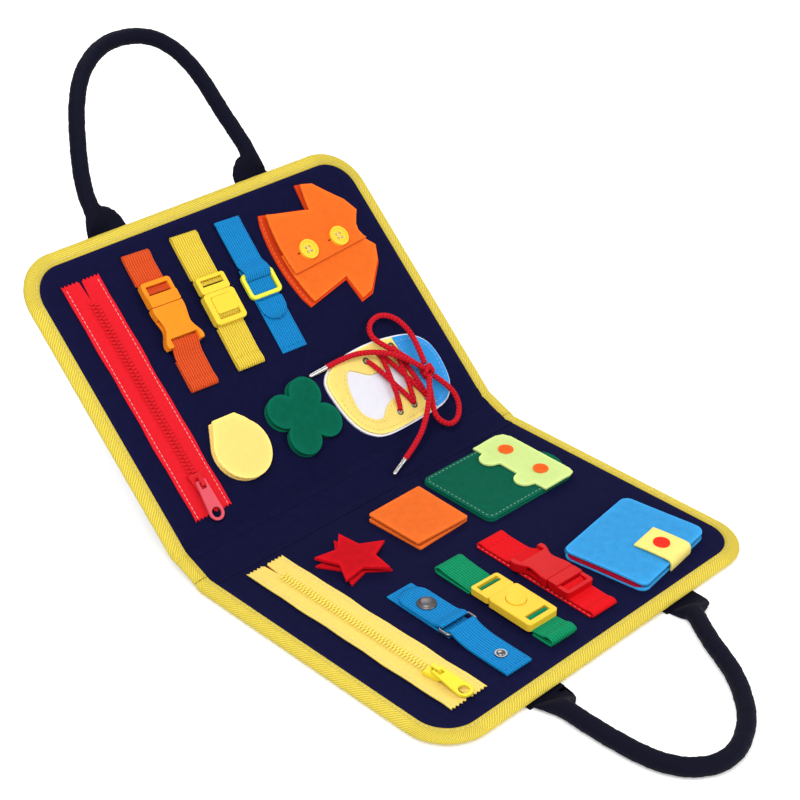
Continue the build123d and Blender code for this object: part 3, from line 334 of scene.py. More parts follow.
def rounded_box(width: float, depth: float, radius: float, steps: int = 6) -> list[Point]:
    """The outline of a rectangle with round corners, anticlockwise about its middle."""
    outline: list[Point] = []
    for corner, (sx, sy) in enumerate(((1, 1), (-1, 1), (-1, -1), (1, -1))):
        for step in range(steps + 1):
            turn = math.radians(90 * corner + 90 * step / steps)
            outline.append(
                (
                    sx * (width / 2 - radius) + radius * math.cos(turn),
                    sy * (depth / 2 - radius) + radius * math.sin(turn),
                )
            )
    return outline


def circle(radius: float, centre: Point = (0.0, 0.0), count: int = 48) -> list[Point]:
    """The outline of a circle."""
    return [
        (
            centre[0] + radius * math.cos(2 * math.pi * k / count),
            centre[1] + radius * math.sin(2 * math.pi * k / count),
        )
        for k in range(count)
    ]


def on_curve(p0: Vector, p1: Vector, p2: Vector, p3: Vector, t: float) -> Vector:
    """The spot at a share of the way from p1 to p2, on a smooth curve through all four."""
    return 0.5 * (
        2 * p1 + (p2 - p0) * t + (2 * p0 - 5 * p1 + 4 * p2 - p3) * t**2 + (3 * p1 - p0 - 3 * p2 + p3) * t**3
    )


def eased(share: float) -> float:
    """A share that starts and ends gently."""
    return share * share * (3 - 2 * share)


def arc(centre: Point, radius: float, degrees: Iterable[float]) -> list[Point]:
    """Points on a circle at given angles."""
    x, y = centre
    return [(x + radius * math.cos(math.radians(a)), y + radius * math.sin(math.radians(a))) for a in degrees]


def lengths_along(line: Sequence[Vector]) -> list[float]:
    """The distance from the start of a line of points to each of them."""
    lengths = [0.0]
    for a, b in zip(line, line[1:]):
        lengths.append(lengths[-1] + (b - a).length)
    return lengths


def closed_curve(points: Sequence[Point], count: int = 8) -> list[Point]:
    """A smooth closed curve through points."""
    out: list[Point] = []
    spots = [Vector(p) for p in points]
    n = len(spots)
    for i in range(n):
        ring = [spots[(i + k - 1) % n] for k in range(4)]
        out += [tuple(on_curve(*ring, k / count)) for k in range(count)]
    return out


def evenly(points: Sequence[Sequence[float]], step: float, closed: bool = False) -> list[tuple[Vector, Vector]]:
    """Spots at even steps along a line of points, each with its direction."""
    line = [Vector(tuple(p) + (0.0,) * (3 - len(p))) for p in points]
    if closed:
        line.append(line[0])
    lengths = lengths_along(line)
    count = max(1, round(lengths[-1] / step))
    spots = []
    leg = 0
    for k in range(count if closed else count + 1):
        along = lengths[-1] * k / count
        while leg < len(line) - 2 and lengths[leg + 1] < along:
            leg += 1
        run = line[leg + 1] - line[leg]
        share = (along - lengths[leg]) / max(run.length, 1e-9)
        spots.append((line[leg] + run * min(share, 1.0), run.normalized()))
    return spots


def moved_in(outline: Sequence[Point], inset: float) -> list[Point]:
    """An anticlockwise outline drawn in by an inset (or out, if it is negative)."""
    spots = [Vector(p) for p in outline]
    n = len(spots)
    out = []
    for i in range(n):
        along = (spots[(i + 1) % n] - spots[i - 1]).normalized()
        out.append((spots[i].x - along.y * inset, spots[i].y + along.x * inset))
    return out


# ---------------------------------------------------------------- cloth shapes


def prism(name: str, outline: Sequence[Point], low: float, high: float) -> bpy.types.Object:
    """A straight block with a given outline: a filled ring is shaped and pulled up."""
    deselect()
    bpy.ops.mesh.primitive_circle_add(vertices=len(outline), radius=1, fill_type="NGON")
    block = named(name)
    set_vertices(block, np.array([(x, y, low) for x, y in outline], float))
    with editing(block):
        bpy.ops.mesh.extrude_region_move(TRANSFORM_OT_translate={"value": (0, 0, high - low)})
        bpy.ops.mesh.select_all(action="SELECT")
        bpy.ops.mesh.normals_make_consistent(inside=False)
    return block


def rim_attribute(piece: bpy.types.Object, outline: Sequence[Point], reach: float = 1.6) -> None:
    """Marks how near each point is to the cut edge, for the paler fibres there."""
    spots = vertices_of(piece)[:, :2]
    a = np.array(outline, float)
    b = np.roll(a, -1, axis=0)
    run = b - a
    length = np.maximum((run**2).sum(1), 1e-9)
    share = np.clip(((spots[:, None, :] - a[None]) * run[None]).sum(2) / length[None], 0, 1)
    near = a[None] + share[..., None] * run[None]
    distance = np.sqrt(((spots[:, None, :] - near) ** 2).sum(2)).min(1)
    layer = piece.data.attributes.new("rim", "FLOAT", "POINT")
    layer.data.foreach_set("value", np.exp(-distance / reach).astype(np.float32))


def felt_cut(
    name: str,
    outline: Sequence[Point],
    thickness: float,
    base: float = 0.0,
    holes: Iterable[Sequence[Point]] = (),
    cuts: Iterable[Sequence[Point]] = (),
    grain: float = 3.0,
    edge: float = 0.4,
    lift: Callable[[float, float], float] | None = None,
) -> bpy.types.Object:
    """A shape cut from a sheet of felt, with soft edges and a gentle rise and fall.

    Args:
        name: the piece's name.
        outline: its outline, anticlockwise.
        thickness: the felt's thickness.
        base: height of its underside.
        holes: outlines that are cut out of it.
        cuts: more outlines that are taken off its edge.
        grain: size of the squares that let it bend.
        edge: how far its edges are rounded.
        lift: how far the sheet rises at a place, or None for flat felt.

    Returns:
        The shape.
    """
    xs = [p[0] for p in outline]
    ys = [p[1] for p in outline]
    low = Vector((min(xs) - 1, min(ys) - 1))
    size = Vector((max(xs) + 1, max(ys) + 1)) - low
    columns = max(2, round(size.x / grain))
    rows = max(2, round(size.y / grain))
    piece = sheet_of(
        name, columns, rows, lambda a, b: (low.x + size.x * a, low.y + size.y * b, base), (size.x, size.y)
    )
    apply_modifier(piece, "SOLIDIFY", thickness=thickness, offset=1.0)
    cutters = [(outline, "INTERSECT")] + [(hole, "DIFFERENCE") for hole in list(holes) + list(cuts)]
    for ring, how in cutters:
        cutter = prism("cutter", ring, base - 3, base + thickness + 3)
        apply_modifier(piece, "BOOLEAN", object=cutter, operation=how, solver="EXACT")
        bpy.data.objects.remove(cutter)
    apply_modifier(
        piece, "BEVEL", width=edge, segments=2, limit_method="ANGLE", angle_limit=math.radians(50), profile=0.6
    )
    rim_attribute(piece, outline)
    flat_map(piece)
    if lift:
        spots = vertices_of(piece)
        spots[:, 2] += [lift(x, y) for x, y in spots[:, :2]]
        set_vertices(piece, spots)
    return piece


def ripple(height: float, length: float, phase: float = 0.0) -> Callable[[float, float], float]:
    """A gentle rise and fall of a sheet, never below its resting height."""

    def lift(x: float, y: float) -> float:
        """The rise at one place."""
        wave = math.sin(x / length * 6.3 + phase) * math.cos(y / (length * 1.3) * 6.3 + phase * 1.7)
        return height * (0.5 + 0.5 * wave)

    return lift


def stitch_row(
    name: str,
    rows: Sequence[Sequence[Sequence[float]]],
    height: float | Callable[[float, float], float],
    length: float = 2.2,
    gap: float = 1.3,
    width: float = 0.55,
    closed: bool = False,
) -> bpy.types.Object:
    """Rows of thread: one stitch is modelled and copied along each row.

    Args:
        name: the piece's name.
        rows: the lines that are sewn.
        height: height of the sewn surface, or how it changes.
        length: length of a stitch.
        gap: gap between two stitches.
        width: the thread's thickness.
        closed: whether each row closes on itself.

    Returns:
        All the stitches as one piece.
    """
    deselect()
    bpy.ops.mesh.primitive_uv_sphere_add(segments=6, ring_count=4, radius=0.5)
    shape, faces = taken_apart(named("stitch"))
    shape = (shape * np.array((width, width, length)))[:, (2, 1, 0)]
    copies: list[np.ndarray] = []
    for row in rows:
        for spot, along in evenly(row, length + gap, closed):
            level = height(spot.x, spot.y) if callable(height) else height
            across = Vector((-along.y, along.x, 0)).normalized() if abs(along.z) < 0.99 else Vector((1, 0, 0))
            turn = np.array([along, across, along.cross(across)])
            copies.append(shape @ turn + np.array((spot.x, spot.y, spot.z + level + width * 0.12)))
    return laid_copies(name, copies, faces)


def ribbon(
    name: str,
    path: Sequence[Point],
    width: float,
    thickness: float,
    round_end: float = 0.0,
    narrow: Callable[[float], float] | None = None,
) -> bpy.types.Object:
    """Woven tape along a long section, with its own map and softly rolled edges.

    Args:
        name: the piece's name.
        path: the middle of its thickness, as (distance along, height).
        width: its width.
        thickness: its thickness.
        round_end: radius of the round first end, or 0 for a straight one.
        narrow: its share of the width at a distance along, where it is squeezed.

    Returns:
        The tape.
    """
    line = [Vector((y, z)) for y, z in path]
    fine: list[Vector] = []
    for i in range(len(line) - 1):
        p0, p1, p2, p3 = line[max(i - 1, 0)], line[i], line[i + 1], line[min(i + 2, len(line) - 1)]
        steps = max(2, round((p2 - p1).length / 1.6))
        for k in range(steps):
            t = k / steps
            fine.append(p1.lerp(p2, t).lerp(on_curve(p0, p1, p2, p3, t), 0.6))
    fine.append(line[-1])
    total = lengths_along(fine)[-1]
    rows = len(fine) - 1
    low = min(p.x for p in fine)

    def spot(a: float, b: float) -> tuple[float, float, float]:
        """One point of the tape."""
        centre = fine[min(round(b * rows), rows)]
        half = width / 2
        if round_end and centre.x - low < round_end:
            left = round_end - (centre.x - low)
            half = min(half, math.sqrt(max(round_end**2 - left**2, 0.04)) * half / round_end)
        if narrow:
            half *= narrow(centre.x)
        across = (a - 0.5) * 2
        return across * half, centre.x, centre.y

    piece = sheet_of(name, 8, rows, spot, (width, total))
    apply_modifier(piece, "SOLIDIFY", thickness=thickness, offset=0.0)
    apply_modifier(
        piece, "BEVEL", width=thickness * 0.28, segments=2, limit_method="ANGLE", angle_limit=math.radians(60)
    )
    return piece


def tube_along(
    name: str, path: Sequence[Vector], radius: Callable[[float], Point], sides: int = 20, spread: float = 0.0
) -> bpy.types.Object:
    """A round or flattened tube along a path, with a map of turns round it and millimetres along it.

    Args:
        name: the piece's name.
        path: its middle line.
        radius: its half width and half height at a share of its length.
        sides: faces round it.
        spread: 0 for a plain end, or how far each end is rounded.

    Returns:
        The tube, closed at both ends.
    """
    runs = lengths_along(path)
    total = runs[-1]
    rows = len(path) - 1
    frames: list[tuple[Vector, Vector]] = []
    side = Vector((0, 0, 1)).cross(path[1] - path[0])
    side = side.normalized() if side.length > 1e-6 else Vector((1, 0, 0))
    for i in range(len(path)):
        along = (path[min(i + 1, rows)] - path[max(i - 1, 0)]).normalized()
        side = (side - along * side.dot(along)).normalized()
        frames.append((side.copy(), along.cross(side)))

    def spot(a: float, b: float) -> Vector:
        """One point of the tube's skin."""
        i = min(round(b * rows), rows)
        turn = 2 * math.pi * a
        half = radius(runs[i] / total)
        grow = 1.0
        if spread:
            near = min(runs[i], total - runs[i])
            grow = math.sqrt(max(1 - (1 - min(near / spread, 1)) ** 2, 0.02))
        across, up = frames[i]
        return path[i] + across * (half[0] * grow * math.cos(turn)) + up * (half[1] * grow * math.sin(turn))

    piece = sheet_of(name, sides, rows, spot, (1.0, total))
    with editing(piece):
        bpy.ops.mesh.remove_doubles(threshold=0.0005)
        bpy.ops.mesh.select_all(action="DESELECT")
        bpy.ops.mesh.select_non_manifold()
        bpy.ops.mesh.edge_face_add()
        bpy.ops.mesh.select_all(action="SELECT")
        bpy.ops.mesh.normals_make_consistent(inside=False)
    return piece


def route_line(name: str, points: Sequence[Vector]) -> list[Vector]:
    """The smooth line that a cord follows, read from a spline with the route as its control points."""
    curve = bpy.data.curves.new(name, "CURVE")
    curve.dimensions = "3D"
    spline = curve.splines.new("NURBS")
    spline.points.add(len(points) - 1)
    for knot, point in zip(spline.points, points):
        knot.co = (*point, 1.0)
    spline.order_u = 3
    spline.use_endpoint_u = True
    spline.resolution_u = 10
    holder = bpy.data.objects.new(name, curve)
    bpy.context.collection.objects.link(holder)
    bpy.context.view_layer.update()
    mesh = bpy.data.meshes.new_from_object(holder.evaluated_get(bpy.context.evaluated_depsgraph_get()))
    line = [v.co.copy() for v in mesh.vertices]
    bpy.data.objects.remove(holder)
    bpy.data.meshes.remove(mesh)
    return line


def through(points: Sequence[Vector], count: int = 10) -> list[Vector]:
    """A smooth open line that passes through every point."""
    line: list[Vector] = []
    last = len(points) - 1
    for i in range(last):
        four = points[max(i - 1, 0)], points[i], points[i + 1], points[min(i + 2, last)]
        line += [on_curve(*four, k / count) for k in range(count)]
    return line + [points[last].copy()]


def line_length(line: Sequence[Vector]) -> float:
    """The length of a line of points."""
    return sum((b - a).length for a, b in zip(line, line[1:]))


# ---------------------------------------------------------------- finishes


class Recipe:
    """A material under construction: a Principled shader with helpers for its nodes."""

    def __init__(self, name: str, **settings: object) -> None:
        """Starts the material and sets plain values on the shader's own sockets."""
        self.material = bpy.data.materials.new(name)
        self.material.use_nodes = True
        self.tree = self.material.node_tree
        self.shader = self.tree.nodes["Principled BSDF"]
        for key, value in settings.items():
            self.shader.inputs[key.replace("_", " ")].default_value = value

    def node(self, kind: str, inputs: dict[str | int, object] | None = None, **settings: object) -> bpy.types.Node:
        """Adds a node, sets it up and links or fills its inputs."""
        made = self.tree.nodes.new(kind)
        for key, value in settings.items():
            setattr(made, key, value)
        for key, value in (inputs or {}).items():
            if isinstance(value, bpy.types.NodeSocket):
                self.tree.links.new(value, made.inputs[key])
            else:
                made.inputs[key].default_value = value
        return made

    def effect(self, group: bpy.types.NodeTree, **inputs: object) -> bpy.types.Node:
        """Places a shared effect with this material's own values."""
        made = self.tree.nodes.new("ShaderNodeGroup")
        made.node_tree = group
        for key, value in inputs.items():
            socket = made.inputs[key.replace("_", " ")]
            if isinstance(value, bpy.types.NodeSocket):
                self.tree.links.new(value, socket)
            else:
                socket.default_value = value
        return made

    def maths(self, operation: str, a: object, b: object) -> bpy.types.NodeSocket:
        """One step of arithmetic."""
        return self.node("ShaderNodeMath", {0: a, 1: b}, operation=operation).outputs[0]

    def cloth_map(self) -> bpy.types.NodeSocket:
        """The piece's own map, in millimetres."""
        return self.node("ShaderNodeUVMap").outputs["UV"]

    def wear(self, colour: bpy.types.NodeSocket, height: bpy.types.NodeSocket, depth: float) -> bpy.types.Material:
        """Links a colour and a height to the shader and gives the material back."""
        self.tree.links.new(colour, self.shader.inputs["Base Color"])
        bump = self.node("ShaderNodeBump", {"Strength": 0.9, "Distance": depth * MM, "Height": height})
        self.tree.links.new(bump.outputs["Normal"], self.shader.inputs["Normal"])
        return self.material


class EffectBuilder:
    """A node group under construction."""

    def __init__(self, name: str, inputs: dict[str, str], outputs: dict[str, str]) -> None:
        """Makes the group with its named inputs and outputs."""
        self.tree = bpy.data.node_groups.new(name, "ShaderNodeTree")
        for label, kind in inputs.items():
            self.tree.interface.new_socket(name=label, in_out="INPUT", socket_type=kind)
        for label, kind in outputs.items():
            self.tree.interface.new_socket(name=label, in_out="OUTPUT", socket_type=kind)
        self.source = self.tree.nodes.new("NodeGroupInput")
        self.sink = self.tree.nodes.new("NodeGroupOutput")

    def feed(self, socket: bpy.types.NodeSocket, value: object) -> None:
        """Links or fills one socket."""
        if isinstance(value, bpy.types.NodeSocket):
            self.tree.links.new(value, socket)
        else:
            socket.default_value = value

    def maths(self, operation: str, a: object, b: object = 0.0, c: object = 0.0) -> bpy.types.NodeSocket:
        """One step of arithmetic."""
        made = self.tree.nodes.new("ShaderNodeMath")
        made.operation = operation
        for socket, value in zip(made.inputs, (a, b, c)):
            self.feed(socket, value)
        return made.outputs[0]

    def wave(self, along: object, pitch: object) -> bpy.types.NodeSocket:
        """A sine along a length, once for each pitch."""
        return self.maths("SINE", self.maths("DIVIDE", self.maths("MULTIPLY", along, TURN), pitch))

    def noise(
        self, vector: object, scale: float, detail: float = 3.0, distortion: float = 0.0
    ) -> bpy.types.NodeSocket:
        """A noise pattern on a map in millimetres."""
        made = self.tree.nodes.new("ShaderNodeTexNoise")
        self.feed(made.inputs["Vector"], vector)
        made.inputs["Scale"].default_value = scale
        made.inputs["Detail"].default_value = detail
        made.inputs["Distortion"].default_value = distortion
        return made.outputs["Fac"]

    def blend(self, share: object, a: object, b: object, how: str = "MIX") -> bpy.types.NodeSocket:
        """A mix of two colours."""
        made = self.tree.nodes.new("ShaderNodeMix")
        made.data_type = "RGBA"
        made.blend_type = how
        self.feed(made.inputs[0], share)
        self.feed(made.inputs[6], a)
        self.feed(made.inputs[7], b)
        return made.outputs[2]

    def split(self, vector: object) -> tuple[bpy.types.NodeSocket, bpy.types.NodeSocket]:
        """The first two parts of a vector."""
        made = self.tree.nodes.new("ShaderNodeSeparateXYZ")
        self.feed(made.inputs[0], vector)
        return made.outputs[0], made.outputs[1]

    def done(self, **outputs: bpy.types.NodeSocket) -> bpy.types.NodeTree:
        """Links the outputs and gives the group back."""
        for key, value in outputs.items():
            self.tree.links.new(value, self.sink.inputs[key])
        return self.tree


# one full turn, in radians, for the sines of ribs, ridges and strands
TURN = 6.2832

COLOUR_IN = {"Map": "NodeSocketVector", "Colour": "NodeSocketColor", "Shade": "NodeSocketColor"}
COLOUR_OUT = {"Colour": "NodeSocketColor", "Height": "NodeSocketFloat"}


class Effects:
    """The shared effects: felt nap, webbing ribs, twill, plain weave, lace braid and moulded skin."""

    def __init__(self) -> None:
        """Builds each effect once."""
        self.nap = self.build_nap()
        self.ribs = self.build_ribs()
        self.twill = self.build_twill()
        self.weave = self.build_weave()
        self.braid = self.build_braid()
        self.skin = self.build_skin()

    def build_nap(self) -> bpy.types.NodeTree:
        """Matted fibres of felt, paler where the sheet was cut.

        Returns:
            The group.
        """
        g = EffectBuilder("felt_nap", COLOUR_IN | {"Rim": "NodeSocketFloat"}, COLOUR_OUT)
        spots = g.source.outputs
        cloud = g.noise(spots["Map"], 0.16, 3.0)
        fibre = g.noise(spots["Map"], 1.3, 5.0, 1.6)
        speck = g.noise(spots["Map"], 3.4, 2.0, 0.6)
        mix = g.maths("ADD", g.maths("MULTIPLY", cloud, 0.35), g.maths("MULTIPLY", fibre, 0.65))
        share = g.maths("MULTIPLY_ADD", mix, 2.6, -0.85)
        share.node.use_clamp = True
        tone = g.blend(share, spots["Shade"], spots["Colour"])
        pale = g.blend(1.0, spots["Colour"], (1.35, 1.35, 1.35, 1.0), "MULTIPLY")
        rim = g.maths("MULTIPLY", spots["Rim"], g.maths("MULTIPLY_ADD", fibre, 0.8, 0.05))
        colour = g.blend(rim, tone, pale)
        height = g.maths("ADD", g.maths("MULTIPLY", fibre, 0.7), g.maths("MULTIPLY", speck, 0.3))
        return g.done(Colour=colour, Height=height)

    def build_ribs(self) -> bpy.types.NodeTree:
        """Webbing: ribs along the tape, crossed by finer weft.

        Returns:
            The group.
        """
        g = EffectBuilder("webbing_ribs", COLOUR_IN | {"Pitch": "NodeSocketFloat"}, COLOUR_OUT)
        spots = g.source.outputs
        u, v = g.split(spots["Map"])
        rib = g.wave(u, spots["Pitch"])
        shift = g.maths("MULTIPLY", g.maths("FLOOR", g.maths("DIVIDE", u, spots["Pitch"])), TURN / 2)
        weft = g.maths("SINE", g.maths("ADD", g.maths("MULTIPLY", v, TURN / 1.25), shift))
        height = g.maths("ADD", g.maths("MULTIPLY", rib, 0.42), g.maths("MULTIPLY", weft, 0.16))
        height = g.maths("ADD", height, 0.5)
        fray = g.noise(spots["Map"], 1.8, 3.0)
        share = g.maths("MULTIPLY_ADD", fray, 0.4, g.maths("MULTIPLY_ADD", height, 1.25, -0.2))
        share.node.use_clamp = True
        colour = g.blend(share, spots["Shade"], spots["Colour"])
        return g.done(Colour=colour, Height=g.maths("MULTIPLY_ADD", fray, 0.2, height))

    def build_twill(self) -> bpy.types.NodeTree:
        """Twill tape: fine slanting ridges.

        Returns:
            The group.
        """
        g = EffectBuilder("twill_ridges", COLOUR_IN | {"Pitch": "NodeSocketFloat"}, COLOUR_OUT)
        spots = g.source.outputs
        u, v = g.split(spots["Map"])
        ridge = g.maths("MULTIPLY_ADD", g.wave(g.maths("ADD", u, v), spots["Pitch"]), 0.5, 0.5)
        fray = g.noise(spots["Map"], 0.9, 4.0)
        share = g.maths("MULTIPLY_ADD", fray, 0.8, g.maths("MULTIPLY_ADD", ridge, 0.9, -0.35))
        share.node.use_clamp = True
        colour = g.blend(share, spots["Shade"], spots["Colour"])
        return g.done(Colour=colour, Height=g.maths("MULTIPLY_ADD", fray, 0.4, ridge))

    def build_weave(self) -> bpy.types.NodeTree:
        """Plain weave: threads over and under.

        Returns:
            The group.
        """
        g = EffectBuilder("plain_weave", COLOUR_IN | {"Pitch": "NodeSocketFloat"}, COLOUR_OUT)
        spots = g.source.outputs
        u, v = g.split(spots["Map"])
        warp_and_weft = g.maths("MULTIPLY", g.wave(u, spots["Pitch"]), g.wave(v, spots["Pitch"]))
        cross = g.maths("MULTIPLY_ADD", warp_and_weft, 0.5, 0.5)
        slub = g.noise(spots["Map"], 0.35, 5.0)
        share = g.maths("MULTIPLY_ADD", slub, 1.2, g.maths("MULTIPLY_ADD", cross, 0.5, -0.4))
        share.node.use_clamp = True
        colour = g.blend(share, spots["Shade"], spots["Colour"])
        return g.done(Colour=colour, Height=g.maths("MULTIPLY_ADD", slub, 0.5, cross))

    def build_braid(self) -> bpy.types.NodeTree:
        """Braided cord: slanting strands that meet in a row of arrowheads.

        Returns:
            The group.
        """
        g = EffectBuilder("lace_braid", COLOUR_IN | {"Pitch": "NodeSocketFloat"}, COLOUR_OUT)
        spots = g.source.outputs
        u, v = g.split(spots["Map"])
        fold = g.maths("ABSOLUTE", g.maths("SUBTRACT", g.maths("FRACT", g.maths("MULTIPLY", u, 4.0)), 0.5))
        slant = g.maths("ADD", g.maths("DIVIDE", v, spots["Pitch"]), g.maths("MULTIPLY", fold, 1.2))
        strand = g.maths("MULTIPLY_ADD", g.maths("SINE", g.maths("MULTIPLY", slant, TURN)), 0.5, 0.5)
        seam = g.maths("MULTIPLY", fold, 2.0)
        height = g.maths("MULTIPLY", strand, g.maths("MULTIPLY_ADD", seam, 0.5, 0.5))
        colour = g.blend(height, spots["Shade"], spots["Colour"])
        return g.done(Colour=colour, Height=height)

    def build_skin(self) -> bpy.types.NodeTree:
        """Moulded skin: faint unevenness of a plastic or metal surface.

        Returns:
            The group.
        """
        g = EffectBuilder(
            "moulded_skin",
            {"Place": "NodeSocketVector", "Colour": "NodeSocketColor", "Rough": "NodeSocketFloat"},
            {"Colour": "NodeSocketColor", "Rough": "NodeSocketFloat", "Height": "NodeSocketFloat"},
        )
        spots = g.source.outputs
        cloud = g.noise(spots["Place"], 90.0, 3.0)
        grain = g.noise(spots["Place"], 900.0, 2.0)
        colour = g.blend(g.maths("MULTIPLY", cloud, 0.16), spots["Colour"], (0.0, 0.0, 0.0, 1.0))
        rough = g.maths("MULTIPLY_ADD", cloud, 0.12, spots["Rough"])
        return g.done(Colour=colour, Rough=rough, Height=grain)


EFFECTS = Effects()


def darker(colour: Colour, share: float) -> tuple[float, float, float, float]:
    """A colour times a share, with its alpha."""
    return (colour[0] * share, colour[1] * share, colour[2] * share, 1.0)


def sheen_tint(colour: Colour) -> tuple[float, float, float, float]:
    """The tint of the light that stray fibres catch."""
    return tuple(min(1.0, 0.08 + 0.92 * c) for c in colour) + (1.0,)


@dataclass(frozen=True)
class Felt:
    """Matted felt."""

    name: str
    colour: Colour
    depth: float = 0.5
    shade: float = 0.80
    sheen: float = 0.16
    gloss: float = 0.07

    def build(self) -> bpy.types.Material:
        """The material."""
        recipe = Recipe(
            self.name,
            Roughness=0.95,
            Specular_IOR_Level=self.gloss,
            Sheen_Weight=self.sheen,
            Sheen_Roughness=0.55,
            Sheen_Tint=sheen_tint(self.colour),
        )
        rim = recipe.node("ShaderNodeAttribute", attribute_name="rim", attribute_type="GEOMETRY").outputs["Fac"]
        nap = recipe.effect(
            EFFECTS.nap,
            Map=recipe.cloth_map(),
            Colour=darker(self.colour, 1.0),
            Shade=darker(self.colour, self.shade),
            Rim=rim,
        )
        return recipe.wear(nap.outputs["Colour"], nap.outputs["Height"], self.depth)


class Weave(Enum):
    """How a cloth is woven."""

    RIBS = "ribs"
    TWILL = "twill"
    PLAIN = "weave"
    BRAID = "braid"


@dataclass(frozen=True)
class Woven:
    """Woven or braided cloth."""

    name: str
    colour: Colour
    weave: Weave
    pitch: float
    depth: float = 0.25
    shade: float = 0.66
    rough: float = 0.8
    sheen: float = 0.08
    gloss: float = 0.12

    def build(self) -> bpy.types.Material:
        """The material."""
        recipe = Recipe(
            self.name,
            Roughness=self.rough,
            Specular_IOR_Level=self.gloss,
            Sheen_Weight=self.sheen,
            Sheen_Roughness=0.45,
            Sheen_Tint=sheen_tint(self.colour),
        )
        cloth = recipe.effect(
            getattr(EFFECTS, self.weave.value),
            Map=recipe.cloth_map(),
            Colour=darker(self.colour, 1.0),
            Shade=darker(self.colour, self.shade),
            Pitch=self.pitch,
        )
        return recipe.wear(cloth.outputs["Colour"], cloth.outputs["Height"], self.depth)


@dataclass(frozen=True)
class Moulded:
    """Moulded plastic, lacquer or metal."""

    name: str
    colour: Colour
    rough: float = 0.22
    metal: float = 0.0
    coat: float = 0.03
    gloss: float = 0.13

    def build(self) -> bpy.types.Material:
        """The material."""
        recipe = Recipe(
            self.name, Metallic=self.metal, Coat_Weight=self.coat, Coat_Roughness=0.2, Specular_IOR_Level=self.gloss
        )
        place = recipe.node("ShaderNodeTexCoord").outputs["Object"]
        skin = recipe.effect(EFFECTS.skin, Place=place, Colour=darker(self.colour, 1.0), Rough=self.rough)
        recipe.tree.links.new(skin.outputs["Rough"], recipe.shader.inputs["Roughness"])
        return recipe.wear(skin.outputs["Colour"], skin.outputs["Height"], 0.012)


@dataclass(frozen=True)
class PrintedCloth:
    """Navy cotton with a scattered print of plain rings, discs, squares and diamonds."""

    name: str
    ground: Colour
    inks: tuple[Colour, ...]

    def build(self) -> bpy.types.Material:
        """The material."""
        recipe = Recipe(self.name, Roughness=0.82, Specular_IOR_Level=0.25, Sheen_Weight=0.08)
        spots = recipe.cloth_map()
        weave = recipe.effect(
            EFFECTS.weave, Map=spots, Colour=darker(self.ground, 1.0), Shade=darker(self.ground, 0.7), Pitch=0.7
        )
        colour = weave.outputs["Colour"]
        # each motif's measure, its cell, its outer and inner reach, its shift and the share left out
        shapes = (
            ("EUCLIDEAN", 34.0, 7.5, 4.6, 0.0, 0.45),
            ("MANHATTAN", 46.0, 8.5, 0.0, 23.0, 0.45),
            ("CHEBYCHEV", 41.0, 5.0, 2.6, 61.0, 0.45),
            ("EUCLIDEAN", 23.0, 1.7, 0.0, 97.0, 0.3),
        )
        for metric, cell, outer, inner, shift, left_out in shapes:
            moved = recipe.node("ShaderNodeMapping", {"Vector": spots, "Location": (shift, shift * 0.7, 0.0)})
            cells = recipe.node(
                "ShaderNodeTexVoronoi",
                {"Vector": moved.outputs[0], "Scale": 1.0 / cell, "Randomness": 0.55},
                voronoi_dimensions="2D",
                distance=metric,
            )
            distance = cells.outputs["Distance"]
            lucky = recipe.node("ShaderNodeSeparateColor", {0: cells.outputs["Color"]})
            inside = recipe.maths("LESS_THAN", distance, outer / cell)
            hollow = recipe.maths("GREATER_THAN", distance, inner / cell)
            some = recipe.maths("GREATER_THAN", lucky.outputs[2], left_out)
            mask = recipe.maths("MULTIPLY", recipe.maths("MULTIPLY", inside, hollow), some)
            ramp = recipe.node("ShaderNodeValToRGB", {0: lucky.outputs[0]})
            ramp.color_ramp.interpolation = "CONSTANT"
            while len(ramp.color_ramp.elements) < len(self.inks):
                ramp.color_ramp.elements.new(0.5)
            for k, ink in enumerate(self.inks):
                ramp.color_ramp.elements[k].position = k / len(self.inks)
                ramp.color_ramp.elements[k].color = (*ink, 1.0)
            mixed = recipe.node("ShaderNodeMix", {0: mask, 6: colour, 7: ramp.outputs[0]}, data_type="RGBA")
            colour = mixed.outputs[2]
        return recipe.wear(colour, weave.outputs["Height"], 0.12)


